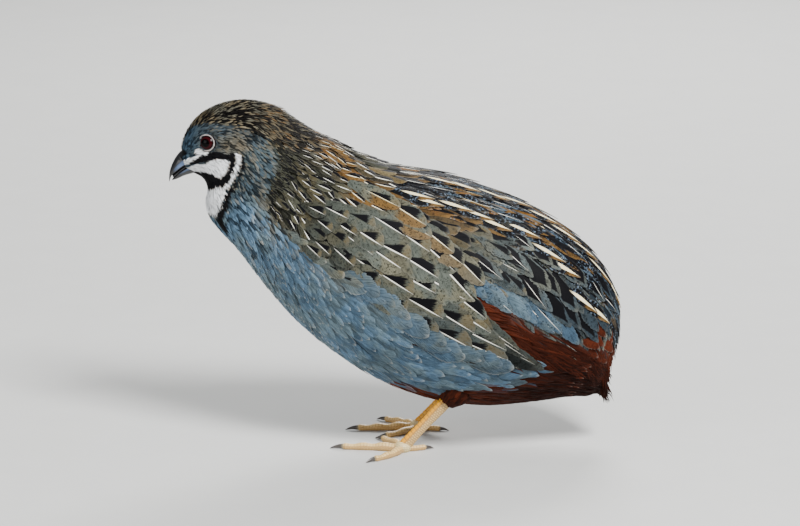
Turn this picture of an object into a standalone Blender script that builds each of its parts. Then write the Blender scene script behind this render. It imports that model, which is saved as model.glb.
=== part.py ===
"""A male king quail, life size, standing as a still museum model.

The bird faces -X, its left side faces -Y and +Z is up. Sizes are in millimetres and each finished
mesh is scaled to metres. Head, neck, torso and tail are lengths of one swept body, which is cut
across with thin gaps. Wings, tail feathers, bill, eyes, legs, toes and claws are set on that body.
"""

import math

import bmesh
import bpy
import numpy as np

MM = 0.001
GAP = 0.3
FLOOR = 1.8

# The body's outline from the side: top point, bottom point, half width, and the share of the depth
# at which the section is widest. Each point is (x, z), from the face to the end of the tail.
BODY_STATIONS = [
    ((-56.4, 78.6), (-56.4, 78.6), 0.0, 0.50),
    ((-56.0, 82.7), (-54.9, 76.2), 3.4, 0.50),
    ((-54.0, 87.3), (-52.6, 75.1), 5.0, 0.50),
    ((-50.5, 91.1), (-50.6, 73.9), 6.2, 0.49),
    ((-45.1, 93.7), (-49.5, 71.8), 7.0, 0.49),
    ((-39.0, 94.5), (-49.6, 69.7), 7.5, 0.49),
    ((-33.1, 93.4), (-50.0, 67.8), 8.0, 0.49),
    ((-27.8, 90.5), (-49.8, 65.3), 8.7, 0.50),
    ((-22.0, 86.9), (-48.5, 62.4), 9.9, 0.51),
    ((-15.9, 84.2), (-45.6, 58.9), 11.8, 0.52),
    ((-9.3, 80.7), (-41.1, 54.0), 14.4, 0.52),
    ((-1.9, 77.8), (-34.7, 45.4), 17.9, 0.52),
    ((6.1, 76.1), (-26.5, 35.9), 21.0, 0.52),
    ((15.9, 73.7), (-15.9, 26.7), 22.8, 0.51),
    ((26.5, 69.9), (-4.0, 19.2), 23.4, 0.50),
    ((36.3, 65.6), (9.3, 14.3), 22.8, 0.49),
    ((45.3, 59.7), (23.1, 12.4), 20.8, 0.48),
    ((52.7, 52.7), (35.8, 13.2), 17.6, 0.47),
    ((57.8, 44.3), (46.4, 14.6), 13.8, 0.46),
    ((59.6, 35.4), (53.0, 15.4), 9.0, 0.48),
    ((57.8, 23.5), (57.8, 23.5), 0.0, 0.50),
]
HEAD_END = 7.0
NECK_END = 10.0
TORSO_END = 17.5
BODY_END = len(BODY_STATIONS) - 1.0
BODY_SIDES = 32
HEAD_RINGS, NECK_RINGS, TORSO_RINGS, TAIL_RINGS = 14, 5, 20, 6

# The bill: the same kind of stations, from inside the face to the tip.
BILL_UPPER_STATIONS = [
    ((-51.5, 82.0), (-51.0, 78.9), 3.0, 0.80),
    ((-55.6, 81.4), (-54.2, 77.7), 2.7, 0.80),
    ((-57.4, 79.9), (-56.1, 76.5), 2.2, 0.78),
    ((-58.8, 77.4), (-57.7, 75.3), 1.5, 0.74),
    ((-59.5, 75.0), (-58.9, 74.3), 0.8, 0.66),
    ((-59.5, 72.8), (-59.5, 72.8), 0.0, 0.50),
]
BILL_LOWER_STATIONS = [
    ((-50.8, 78.4), (-50.6, 75.8), 2.7, 0.25),
    ((-54.0, 77.4), (-53.6, 75.0), 2.4, 0.25),
    ((-55.8, 76.3), (-55.6, 74.4), 1.9, 0.28),
    ((-57.4, 74.9), (-57.3, 73.6), 1.2, 0.32),
    ((-58.8, 73.3), (-58.8, 73.3), 0.0, 0.50),
]
BILL_SIDES, BILL_RINGS = 16, 9
NOSTRIL_AT = (-55.9, 79.3)
NOSTRIL_SIZE = (1.0, 0.6, 0.35)
NOSTRIL_SLANT = math.radians(50)

EYE_AT = (-49.4, 84.5)
EYE_RADIUS = 2.4
EYE_SUNK = 1.75
EYE_FORWARD = math.radians(12)
LID_RADIUS = 2.35
LID_THICKNESS = 0.42
LID_OUT = 1.62
LID_OVAL = 0.93

# The wing: its core is a leaf on the flank, from the shoulder to the tip, with its edges above and below.
WING_SHOULDER = (-25.5, 61.0)
WING_TIP = (33.0, 30.5)
WING_ABOVE, WING_BELOW = 17.5, 5.5
WING_CORE_THICKNESS = 1.5
WING_CORE_PROUD = 0.55
WING_CORE_STEPS, WING_CORE_ROWS = 9, 6

# Each tier: the line of its tips (upper end, lower end), the count, the vane's length and half width,
# and the way its first and last vanes point, in degrees below level.
WING_TIERS = [
    ("outer_primaries", (37.0, 25.8), (26.0, 28.0), 4, 21.0, 2.5, 27.0, 24.0),
    ("primaries", (31.0, 35.5), (39.3, 26.1), 5, 28.0, 3.0, 42.0, 28.0),
    ("secondaries", (23.0, 46.5), (30.5, 28.8), 6, 24.0, 3.9, 40.0, 28.0),
    ("greater_coverts", (12.5, 56.5), (14.5, 35.2), 6, 18.0, 3.8, 34.0, 31.0),
    ("median_coverts", (1.0, 63.0), (1.5, 43.5), 6, 14.0, 3.4, 28.0, 34.0),
    ("lesser_coverts", (-9.5, 66.0), (-10.5, 51.0), 5, 11.5, 3.1, 22.0, 38.0),
    ("scapulars", (4.0, 67.8), (25.0, 52.5), 7, 14.5, 3.1, 27.0, 38.0),
]
VANE_THICKNESS = 0.55
VANE_EDGE = 0.08
VANE_ROOT_SUNK = -0.45
VANE_TIP_LIFT = 0.85
TIER_LIFT = 0.06
VANE_STEPS = (0.0, 0.38, 0.76)

# Tail tiers: the station of the roots, the spread either side of a middle angle from the top, the
# count, the length, the half width, and how far the root sinks and the tip rises.
TAIL_TIERS = [
    ("tail_feathers", 18.1, 0.0, 62.0, 8, 19.0, 2.6, -2.6, -0.9),
    ("upper_coverts_long", 17.95, 0.0, 100.0, 10, 15.5, 2.7, -1.3, 0.1),
    ("upper_coverts_short", 17.62, 0.0, 112.0, 11, 11.0, 2.9, -0.7, 0.7),
    ("under_coverts_long", 18.2, 180.0, 52.0, 5, 12.0, 2.4, -1.4, 0.1),
    ("under_coverts_short", 17.62, 180.0, 58.0, 6, 10.5, 2.6, -0.7, 0.6),
]
TAIL_CORE_SHRINK = 2.2

# The legs. The left foot is at FOOT_AT, and the right one stands a little further back.
FOOT_AT = (2.1, -10.5)
RIGHT_FOOT_BACK = 4.0
ANKLE_RISE, ANKLE_BACK = 17.3, 13.0
SHANK_RADII = (1.75, 1.55, 1.45, 1.5, 1.7)
SHANK_FLATTENED = 0.78
SHANK_FROM = 0.26
THIGH_RADII = (5.2, 4.8, 3.8, 2.5)
THIGH_LENGTH = 10.0
LEG_SIDES = 12
PAD_SIZE = (2.2, 2.0, 1.7)
PAD_HEIGHT = 1.25

# Toes: the way each points from straight ahead on the left foot and on the right (outwards is
# positive), its length, its radius at the root and at the tip, its joints, and its claw's length.
TOES = [
    ("middle", (-8.0, -2.0), 16.0, 1.25, 0.82, 3, 3.4),
    ("outer", (52.0, 44.0), 12.0, 1.15, 0.76, 3, 2.8),
    ("inner", (-62.0, -42.0), 11.5, 1.1, 0.74, 2, 2.8),
    ("hallux", (196.0, 190.0), 6.2, 1.0, 0.68, 1, 2.2),
]
TOE_SIDES, TOE_RINGS = 8, 9
TOE_BULGE = 0.10
TOE_FLAT = 0.88
CLAW_SIDES, CLAW_RINGS = 8, 5

COLOURS = {
    "crown": (0.16, 0.12, 0.09),
    "slate": (0.20, 0.25, 0.33),
    "olive": (0.30, 0.26, 0.19),
    "chestnut": (0.28, 0.08, 0.03),
    "bill": (0.02, 0.022, 0.03),
    "eye": (0.10, 0.01, 0.01),
    "leg": (0.75, 0.50, 0.20),
    "claw": (0.06, 0.05, 0.045),
}


def smooth_between(values, u):
    """Catmull-Rom through the rows of values, which hold one extra row at each end."""
    u = np.clip(np.asarray(u, float), 0.0, len(values) - 3.0)
    index = np.minimum(u.astype(int), len(values) - 4)
    t = (u - index)[:, None]
    a, b, c, d = (values[index + k] for k in range(4))
    return 0.5 * (2 * b + (c - a) * t + (2 * a - 5 * b + 4 * c - d) * t**2 + (3 * b - a - 3 * c + d) * t**3)


class Sweep:
    """A body swept through stations. Its parameter u counts stations, and angle 0 is the top."""

    def __init__(self, stations):
        top = np.array([s[0] for s in stations])
        bottom = np.array([s[1] for s in stations])
        width = np.array([[s[2]] for s in stations])
        widest = np.array([[s[3]] for s in stations])
        self.last = len(stations) - 1.0
        self.top = self.padded(top, bottom, width)
        self.bottom = self.padded(bottom, top, width)
        self.width = self.padded(width, -width, width)
        self.widest = self.padded(widest, widest, width)

    @staticmethod
    def padded(rows, past_end, width):
        """Adds a row past each end. At a closed end it is the other side's, so that the end is round."""
        first = past_end[1] if width[0, 0] == 0 else 2 * rows[0] - rows[1]
        last = past_end[-2] if width[-1, 0] == 0 else 2 * rows[-1] - rows[-2]
        return np.vstack([first, rows, last])

    def section(self, u):
        """Middle, and the steps from it to the top, to the bottom and to the side, for each u."""
        top, bottom = smooth_between(self.top, u), smooth_between(self.bottom, u)
        middle = top + (bottom - top) * smooth_between(self.widest, u)
        return middle, top - middle, bottom - middle, smooth_between(self.width, u)[:, 0]

    def points(self, u, angle):
        """Points on the surface. An angle turns from the top towards -Y, the bird's left."""
        u, angle = np.broadcast_arrays(np.asarray(u, float), np.asarray(angle, float))
        middle, up, down, width = self.section(u.ravel())
        angle = angle.ravel()
        height = np.cos(angle)[:, None]
        side_view = middle + np.where(height > 0, up * height, -down * height)
        return np.column_stack([side_view[:, 0], -width * np.sin(angle), side_view[:, 1]])

    def frame(self, u, angle):
        """Points, outward normals and backward directions along the surface."""
        u, angle = np.broadcast_arrays(np.asarray(u, float), np.asarray(angle, float))
        u = np.clip(u.ravel(), 0.02, self.last - 0.02)
        angle = angle.ravel()
        step = 0.01
        along = self.points(u + step, angle) - self.points(u - step, angle)
        round_it = self.points(u, angle + step) - self.points(u, angle - step)
        normal = np.cross(round_it, along)
        return self.points(u, angle), unit(normal), unit(along)

    def from_side(self, x, z):
        """The parameters (u, angle) of the left flank's points that are seen at x, z from the side."""
        u = np.linspace(0.05, self.last - 0.05, 1200)
        middle, up, down, _ = self.section(u)
        seen = np.column_stack([np.ravel(x), np.ravel(z)])
        found_u, found_angle = [], []
        for point in seen:
            arm = point - (middle + down)
            across = up - down
            cross = arm[:, 0] * across[:, 1] - arm[:, 1] * across[:, 0]
            turns = np.flatnonzero(np.sign(cross[1:]) != np.sign(cross[:-1]))
            share = (arm * across).sum(1) / (across**2).sum(1)
            if len(turns):
                inside = np.abs(share[turns] - 0.5)
                k = turns[np.argmin(inside)]
                part = cross[k] / (cross[k] - cross[k + 1])
            else:
                k, part = int(np.argmin(np.abs(cross))), 0.0
            here = u[k] + part * (u[min(k + 1, len(u) - 1)] - u[k])
            mid, to_top, to_bottom, _ = (a[0] for a in self.section(np.array([here])))
            arm = point - mid
            reach = to_top if arm @ to_top > 0 else to_bottom
            height = np.clip((arm @ reach) / (reach @ reach), 0.0, 0.985)
            found_u.append(here)
            found_angle.append(math.acos(height if reach is to_top else -height))
        return np.array(found_u), np.array(found_angle)


def unit(vectors):
    return vectors / np.maximum(np.linalg.norm(vectors, axis=-1, keepdims=True), 1e-12)


BODY = Sweep(BODY_STATIONS)


def ring_mesh(rings, first_point=None, last_point=None):
    """Vertices and faces of a closed tube of rings, its ends closed by a point or by a flat cap."""
    count = len(rings[0])
    vertices = [point for ring in rings for point in ring]
    faces = []
    for i in range(len(rings) - 1):
        for j in range(count):
            a, b = i * count + j, i * count + (j + 1) % count
            faces += [(a, b, b + count), (a, b + count, a + count)]
    last = (len(rings) - 1) * count
    if first_point is None:
        faces.append(tuple(range(count - 1, -1, -1)))
    else:
        vertices.append(first_point)
        faces += [((j + 1) % count, j, len(vertices) - 1) for j in range(count)]
    if last_point is None:
        faces.append(tuple(range(last, last + count)))
    else:
        vertices.append(last_point)
        faces += [(last + j, last + (j + 1) % count, len(vertices) - 1) for j in range(count)]
    return vertices, faces


def make_object(name, vertices, faces):
    """A closed mesh object in millimetres, its faces turned outwards."""
    mesh = bpy.data.meshes.new(name)
    mesh.from_pydata([tuple(float(c) for c in v) for v in vertices], [], faces)
    shape = bmesh.new()
    shape.from_mesh(mesh)
    bmesh.ops.recalc_face_normals(shape, faces=shape.faces)
    if shape.calc_volume(signed=True) < 0:
        bmesh.ops.reverse_faces(shape, faces=shape.faces)
    bmesh.ops.triangulate(shape, faces=[f for f in shape.faces if len(f.verts) > 4])
    shape.to_mesh(mesh)
    shape.free()
    made = bpy.data.objects.new(name, mesh)
    bpy.context.scene.collection.objects.link(made)
    return made


def swept_object(name, sweep, start, end, rings, sides, lift=None, cuts=(False, False)):
    """The stretch of a sweep from start to end. A cut end stands half a gap back from its plane."""
    stations = np.linspace(start, end, rings + 1)
    closed_start, closed_end = start <= 0, end >= sweep.last
    if closed_start:
        stations = np.concatenate([[0.25 * stations[1]], stations[1:]])
    if closed_end:
        stations = np.concatenate([stations[:-1], [end - 0.25 * (end - stations[-2])]])
    angles = np.linspace(0, 2 * math.pi, sides, endpoint=False)
    lines = []
    for u in stations:
        point, normal, _ = sweep.frame(u, angles)
        lines.append(point + normal * (lift(u) if lift else 0.0))
    for cut, index, other in ((cuts[0], 0, 1), (cuts[1], -1, -2)):
        if cut:
            ring = lines[index]
            across = np.cross(ring[sides // 4] - ring[0], ring[sides // 2] - ring[0])
            across = unit(across)
            if across @ (lines[other].mean(0) - ring.mean(0)) < 0:
                across = -across
            lines[index] = ring + across * GAP / 2
    first = sweep.points(0.0, 0.0)[0] if closed_start else None
    last = sweep.points(sweep.last, 0.0)[0] if closed_end else None
    if lift and closed_start:
        first = first + np.array([-lift(start), 0, 0])
    if lift and closed_end:
        last = lines[-1].mean(0) * 0.75 + last * 0.25
    return make_object(name, *ring_mesh(lines, first, last))


def lifted_copy(source, lift, name):
    """A copy of a mesh object with its surface moved out by lift."""
    copy = source.copy()
    copy.data = source.data.copy()
    copy.name = name
    bpy.context.scene.collection.objects.link(copy)
    shape = bmesh.new()
    shape.from_mesh(copy.data)
    shape.normal_update()
    moves = [(v, v.normal * lift * min(v.calc_shell_factor(), 1.5)) for v in shape.verts]
    for vertex, move in moves:
        vertex.co += move
    shape.to_mesh(copy.data)
    shape.free()
    return copy


def tube_object(name, path, radii, sides, flatten=1.0, end_point=None, floor=None):
    """A tube along path, flattened sideways, with nothing of it under the floor."""
    path = np.asarray(path, float)
    along = unit(np.gradient(path, axis=0))
    across = unit(np.cross(along, [0.0, 0.0, 1.0]))
    over = np.cross(across, along)
    rings = []
    for k, radius in enumerate(radii):
        turn = 2 * math.pi * np.arange(sides) / sides
        ring = path[k] + radius * (np.outer(np.sin(turn), across[k] * flatten) + np.outer(np.cos(turn), over[k]))
        if floor is not None:
            ring[:, 2] = np.maximum(ring[:, 2], floor)
        rings.append(ring)
    return make_object(name, *ring_mesh(rings, None, end_point))


def ball_object(name, centre, size, segments=16, rings=10, slant=0.0, slant_axis="Y"):
    """An ellipsoid with half axes size, turned about one axis."""
    bpy.ops.mesh.primitive_uv_sphere_add(segments=segments, ring_count=rings, radius=1.0)
    ball = bpy.context.object
    ball.name = name
    turned = {"X": 0, "Y": 1, "Z": 2}[slant_axis]
    ball.scale = size
    ball.rotation_euler[turned] = slant
    ball.location = centre
    bpy.ops.object.transform_apply()
    return ball


def fused(name, pieces, cutters=(), whole=True, solver="EXACT"):
    """The union of the pieces less the cutters, which are all removed. A whole one is one closed body."""
    base = pieces[0]
    steps = (("UNION", pieces[1:]), ("DIFFERENCE", list(cutters)))
    collections = []
    for operation, members in steps:
        if not members:
            continue
        group = bpy.data.collections.new(name + "_" + operation.lower())
        for member in members:
            group.objects.link(member)
        collections.append(group)
        modifier = base.modifiers.new(operation.lower(), "BOOLEAN")
        modifier.operation = operation
        modifier.operand_type = "COLLECTION"
        modifier.collection = group
        modifier.solver = solver
    bpy.context.view_layer.update()
    graph = bpy.context.evaluated_depsgraph_get()
    mesh = bpy.data.meshes.new_from_object(base.evaluated_get(graph))
    made = bpy.data.objects.new(name, mesh)
    bpy.context.scene.collection.objects.link(made)
    for member in [*pieces, *cutters]:
        bpy.data.objects.remove(member)
    for group in collections:
        bpy.data.collections.remove(group)
    made.name = name
    if whole:
        keep_largest_surface(made)
    return made


def keep_largest_surface(made):
    """Drops every closed surface of the mesh but the one that holds the most."""
    shape = bmesh.new()
    shape.from_mesh(made.data)
    bmesh.ops.remove_doubles(shape, verts=shape.verts, dist=1e-4)
    bmesh.ops.triangulate(shape, faces=shape.faces)
    unseen, surfaces = set(shape.faces), []
    while unseen:
        front = [unseen.pop()]
        surface = list(front)
        while front:
            face = front.pop()
            for edge in face.edges:
                for other in edge.link_faces:
                    if other in unseen:
                        unseen.remove(other)
                        front.append(other)
                        surface.append(other)
        surfaces.append(surface)

    def volume(surface):
        corners = [[v.co for v in face.verts] for face in surface]
        return sum(a.dot(b.cross(c)) for a, b, c in corners) / 6

    surfaces.sort(key=volume)
    bmesh.ops.delete(shape, geom=[f for s in surfaces[:-1] for f in s], context="FACES")
    shape.to_mesh(made.data)
    shape.free()


def vane_object(name, left, ridge, right, keel, tip):
    """A feather's vane: rows of left edge, ridge, right edge and keel that end in one tip point."""
    rings = [[left[k], ridge[k], right[k], keel[k]] for k in range(len(left))]
    vertices = [point for ring in rings for point in ring] + [tip]
    faces = [(0, 3, 2), (0, 2, 1)]
    for k in range(len(rings) - 1):
        a, b = 4 * k, 4 * k + 4
        for edge, middle in ((0, 1), (0, 3), (2, 1), (2, 3)):
            faces += [(a + edge, a + middle, b + middle), (a + edge, b + middle, b + edge)]
    last = 4 * (len(rings) - 1)
    faces += [(last + j, last + (j + 1) % 4, len(vertices) - 1) for j in range(4)]
    return make_object(name, vertices, faces)


def vane_width(share, blunt=0.62):
    """A vane's half width at a share of its length: narrow at the root, full in the middle."""
    return (0.55 + 0.45 * np.sin(math.pi * min(share / blunt, 1) / 2)) * (1 - max(share - blunt, 0) ** 1.6 * 1.9)


def wing_vane(name, end, heading, length, half_width, sunk, tip_lift):
    """A vane on the left flank that ends at end in the side view and is wrapped on the body."""
    forward = np.array([math.cos(heading), -math.sin(heading)])
    root = np.array(end) - forward * length
    sideways = np.array([forward[1], -forward[0]])
    rows = {"left": [], "ridge": [], "right": [], "keel": []}
    for share in VANE_STEPS:
        middle = root + forward * length * share
        half = half_width * vane_width(share)
        lift = sunk + (tip_lift - sunk) * share**0.7
        places = {
            "left": (middle - sideways * half, lift + VANE_EDGE),
            "right": (middle + sideways * half, lift + VANE_EDGE),
            "ridge": (middle, lift + VANE_THICKNESS),
            "keel": (middle, lift - 0.05),
        }
        for row, (place, out) in places.items():
            rows[row].append(flank_point(place, out))
    tip = flank_point(np.array(end), tip_lift + 0.15)
    return vane_object(name, rows["left"], rows["ridge"], rows["right"], rows["keel"], tip)


def flank_point(place, lift):
    """The point of the left flank that the side view shows at place, moved out by lift."""
    u, angle = BODY.from_side(*place)
    point, normal, _ = BODY.frame(u, angle)
    return point[0] + normal[0] * lift


def tail_vane(name, u, angle, length, half_width, sunk, tip_lift):
    """A vane that follows the body's own line back from station u, at angle from the top."""
    point, normal, along = (a[0] for a in BODY.frame(u, angle))
    rows = {"left": [], "ridge": [], "right": [], "keel": []}
    place = point.copy()
    travelled = 0.0
    station = u
    for share in (*VANE_STEPS, 1.0):
        while travelled < share * length:
            here, n, a = (v[0] for v in BODY.frame(station, angle))
            reach = np.linalg.norm(BODY.points(station + 0.01, angle)[0] - here) / 0.01
            if station < BODY.last - 0.9:
                station += 0.25 / reach
                place, normal, along = here, n, a
            else:
                along = unit(0.97 * along + 0.03 * np.array([0.25, 0.0, -1.0]))
                normal = unit(normal - along * (normal @ along))
                place = place + along * 0.25
            travelled += 0.25
        sideways = np.cross(normal, along)
        lift = sunk + (tip_lift - sunk) * share**0.7
        half = half_width * vane_width(share)
        if share == 1.0:
            tip = place + normal * (lift + 0.15)
            break
        rows["left"].append(place - sideways * half + normal * (lift + VANE_EDGE))
        rows["right"].append(place + sideways * half + normal * (lift + VANE_EDGE))
        rows["ridge"].append(place + normal * (lift + VANE_THICKNESS))
        rows["keel"].append(place + normal * (lift - 0.05))
    return vane_object(name, rows["left"], rows["ridge"], rows["right"], rows["keel"], tip)


def turn_over(made):
    """Moves a mesh to the bird's other side."""
    shape = bmesh.new()
    shape.from_mesh(made.data)
    for vertex in shape.verts:
        vertex.co.y = -vertex.co.y
    bmesh.ops.reverse_faces(shape, faces=shape.faces)
    shape.to_mesh(made.data)
    shape.free()


def mirrored(source, name):
    """A copy on the bird's other side."""
    copy = source.copy()
    copy.data = source.data.copy()
    copy.name = name
    bpy.context.scene.collection.objects.link(copy)
    turn_over(copy)
    return copy


def eye_place():
    """The left eye's centre and the way it looks."""
    u, angle = BODY.from_side(*EYE_AT)
    point, normal, _ = BODY.frame(u, angle)
    look = unit(normal[0] + np.array([-math.sin(EYE_FORWARD), 0.0, 0.0]))
    return point[0] - look * EYE_SUNK, look


def lid_object(name, centre, look):
    """The rim of skin round an eye, a little higher than it is long."""
    bpy.ops.mesh.primitive_torus_add(
        major_radius=LID_RADIUS, minor_radius=LID_THICKNESS, major_segments=18, minor_segments=6
    )
    lid = bpy.context.object
    lid.name = name
    shape = bmesh.new()
    shape.from_mesh(lid.data)
    over = unit(np.array([0.0, 0.0, 1.0]) - look * look[2])
    ahead = np.cross(over, look)
    for vertex in shape.verts:
        across, up, out = vertex.co
        place = centre + look * (LID_OUT + out) + ahead * across * LID_OVAL + over * up
        vertex.co = place
    bmesh.ops.recalc_face_normals(shape, faces=shape.faces)
    shape.to_mesh(lid.data)
    shape.free()
    return lid


def make_head():
    """The head with its two eye sockets and rims of lid."""
    head = swept_object("head_blank", BODY, 0.0, HEAD_END, HEAD_RINGS, BODY_SIDES, cuts=(False, True))
    blank = lifted_copy(head, GAP, "face_cutter")
    centre, look = eye_place()
    lid = lid_object("lid_left", centre, look)
    socket = ball_object("socket_left", centre, (EYE_RADIUS + GAP,) * 3, 16, 10)
    pieces = [head, lid, mirrored(lid, "lid_right")]
    return fused("head", pieces, [socket, mirrored(socket, "socket_right")]), blank


def make_eyes():
    centre, _ = eye_place()
    left = ball_object("eye_left", centre, (EYE_RADIUS,) * 3, 18, 10)
    return [left, mirrored(left, "eye_right")]


def nostril_cutter(name):
    u, angle = BILL_UPPER.from_side(*NOSTRIL_AT)
    place = BILL_UPPER.points(u, angle)[0]
    return ball_object(name, place, NOSTRIL_SIZE, 12, 8, slant=NOSTRIL_SLANT)


BILL_UPPER = Sweep(BILL_UPPER_STATIONS)
BILL_LOWER = Sweep(BILL_LOWER_STATIONS)


def make_bill(face):
    """Both halves of the bill, each cut to the face, and the upper one with its nostrils."""
    made = []
    for name, sweep in (("bill_upper", BILL_UPPER), ("bill_lower", BILL_LOWER)):
        blank = swept_object(name + "_blank", sweep, 0.001, sweep.last, BILL_RINGS, BILL_SIDES)
        cutters = [lifted_copy(face, 0.0, "face_copy")]
        if name == "bill_upper":
            nostril = nostril_cutter("nostril_left")
            cutters += [nostril, mirrored(nostril, "nostril_right")]
        made.append(fused(name, [blank], cutters))
    return made


def wing_core(grow=0.0):
    """A thin leaf let into the flank, which the wing's vanes are rooted in. It can be made larger all round."""
    shoulder, tip = np.array(WING_SHOULDER), np.array(WING_TIP)
    along = (tip - shoulder) / np.linalg.norm(tip - shoulder)
    over = np.array([-along[1], along[0]])
    shoulder = shoulder - along * grow
    reach = (tip - shoulder) @ along + grow
    outer, inner = [], []
    for turn in np.linspace(0.0, math.pi, WING_CORE_STEPS + 1):
        share = 0.5 - 0.5 * math.cos(turn)
        girth = math.sin(math.pi * (0.015 + 0.94 * share) ** 0.75) ** 0.6
        for across in np.linspace(-1, 1, WING_CORE_ROWS):
            out = WING_ABOVE if across > 0 else WING_BELOW
            place = shoulder + along * reach * share + over * across * (out * girth + grow)
            outer.append(flank_point(place, WING_CORE_PROUD + 4 * grow))
            inner.append(flank_point(place, -WING_CORE_THICKNESS - grow))
    rows = WING_CORE_ROWS
    vertices, faces = outer + inner, []
    below = len(outer)
    for i in range(WING_CORE_STEPS):
        for j in range(rows - 1):
            a, b, c, d = i * rows + j, i * rows + j + 1, (i + 1) * rows + j + 1, (i + 1) * rows + j
            faces += [(a, b, c), (a, c, d), (below + a, below + c, below + b), (below + a, below + d, below + c)]
    edge = list(range(rows))
    edge += [i * rows + rows - 1 for i in range(1, WING_CORE_STEPS + 1)]
    edge += [WING_CORE_STEPS * rows + j for j in range(rows - 2, -1, -1)]
    edge += [i * rows for i in range(WING_CORE_STEPS - 1, 0, -1)]
    for a, b in zip(edge, edge[1:] + edge[:1]):
        faces += [(a, below + a, below + b), (a, below + b, b)]
    return make_object("wing_core", vertices, faces)


def make_wings(cutters):
    """Both wings: tiers of vanes from the primaries out to the coverts and scapulars."""
    vanes = []
    for level, (tier, upper, lower, count, length, half_width, first, last) in enumerate(WING_TIERS):
        for k in range(count):
            share = k / (count - 1)
            end = np.array(upper) + (np.array(lower) - np.array(upper)) * share
            heading = math.radians(first + (last - first) * share)
            reach = length * (1 + 0.05 * math.sin(2.4 * k + level))
            lift = VANE_TIP_LIFT + TIER_LIFT * level
            sunk = VANE_ROOT_SUNK + TIER_LIFT * level
            vanes.append(wing_vane(f"{tier}_{k}", end, heading, reach, half_width, sunk, lift))
    vanes = fused("wing_vanes", vanes, cutters, whole=False)
    left = fused("wing_left", [wing_core(), vanes])
    return [left, mirrored(left, "wing_right")]


def make_tail(torso_cutter):
    """The end of the body with its tail feathers and the coverts over and under them."""
    span = BODY_END - TORSO_END

    def shrink(u):
        return -TAIL_CORE_SHRINK * (u - TORSO_END) / span

    core = swept_object("tail_core", BODY, TORSO_END, BODY_END, TAIL_RINGS, BODY_SIDES, shrink, (True, False))
    pieces = [core]
    for tier, u, middle, spread, count, length, half_width, sunk, lift in TAIL_TIERS:
        for k in range(count):
            share = 2 * k / (count - 1) - 1
            angle = math.radians(middle + spread * share)
            reach = length * (1 - 0.12 * abs(share)) * (1 + 0.04 * math.sin(3.1 * k))
            pieces.append(tail_vane(f"{tier}_{k}", u, angle, reach, half_width, sunk, lift))
    return fused("tail", pieces, [torso_cutter])


def foot_at(foot):
    """Where foot 0 or 1 stands. Both are made on the left, and the right one is mirrored later."""
    return np.array([FOOT_AT[0] + RIGHT_FOOT_BACK * foot, FOOT_AT[1]])


def leg_line(foot, share):
    """A point on a shank's line: 0 is the foot and 1 the ankle."""
    rise = FLOOR + PAD_HEIGHT + (ANKLE_RISE - FLOOR - PAD_HEIGHT) * share
    return np.array([*(foot_at(foot) + np.array([ANKLE_BACK * share, 0.0])), rise])


def pad_object(name, foot, grow=0.0):
    """The ball of the foot, flat where it meets the floor."""
    size = tuple(s + grow for s in PAD_SIZE)
    pad = ball_object(name, (*foot_at(foot), FLOOR + PAD_HEIGHT), size, 14, 8)
    for vertex in pad.data.vertices:
        vertex.co.z = max(vertex.co.z, FLOOR if grow == 0 else FLOOR - 1.0)
    return pad


def make_leg(side, foot, torso_cutter):
    """A thigh, shank, toes and claws, all placed on the left."""
    top = 1 - SHANK_FROM
    shares = np.linspace(0.0, top, len(SHANK_RADII))
    path = [leg_line(foot, s) for s in shares]
    shank_tube = tube_object("shank_tube", path, SHANK_RADII[::-1], LEG_SIDES, SHANK_FLATTENED, floor=FLOOR)
    shank = fused(f"shank_{side}", [pad_object("pad", foot), shank_tube])
    direction = unit(leg_line(foot, 1.0) - leg_line(foot, 0.0))
    start = leg_line(foot, top) + direction * GAP
    steps = np.linspace(0.0, THIGH_LENGTH, len(THIGH_RADII))
    thigh_path = [start + direction * s for s in steps]
    thigh = tube_object("thigh_blank", thigh_path, THIGH_RADII[::-1], LEG_SIDES)
    made = [fused(f"thigh_{side}", [thigh], [torso_cutter]), shank]
    for name, turns, length, thick, thin, joints, claw in TOES:
        made += make_toe(f"{side}_{name}", foot, turns[foot], length, thick, thin, joints, claw)
    return made


def make_toe(name, foot, turn, length, thick, thin, joints, claw_length):
    """A toe with a swelling at each joint, and its claw past a thin gap."""
    turn = math.radians(turn)
    ahead = np.array([-math.cos(turn), -math.sin(turn), 0.0])
    side = np.array([-ahead[1], ahead[0], 0.0])
    radii, path = [], []
    for share in np.linspace(0.0, 1.0, TOE_RINGS):
        radius = thick + (thin - thick) * share
        radius *= 1 + TOE_BULGE * math.cos(2 * math.pi * joints * share)
        curl = 0.10 * math.sin(math.pi * share) * length * math.sin(turn)
        radii.append(radius)
        path.append(np.array([*foot_at(foot), FLOOR + radius * TOE_FLAT]) + ahead * length * share + side * curl)
    toe = tube_object("toe_blank", path, radii, TOE_SIDES, 1.0, floor=FLOOR)
    toe = fused(f"toe_{name}", [toe], [pad_object("pad_cutter", foot, GAP)])
    tip = path[-1]
    ahead = unit((path[-1] - path[-2]) * np.array([1.0, 1.0, 0.0]))
    claw_path, claw_radii = [], []
    for share in np.linspace(0.0, 0.85, CLAW_RINGS):
        rise = 0.1 * math.sin(3 * share) - 0.7 * share**2 * (tip[2] - FLOOR)
        claw_path.append(tip + ahead * (GAP + claw_length * share) + np.array([0.0, 0.0, rise]))
        claw_radii.append(radii[-1] * 0.78 * (1 - share) ** 0.8)
    end = tip + ahead * (GAP + claw_length) + np.array([0.0, 0.0, FLOOR + 0.06 - tip[2]])
    claw = tube_object(f"claw_{name}", claw_path, claw_radii, CLAW_SIDES, 0.8, end, FLOOR)
    return [toe, claw]


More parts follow.
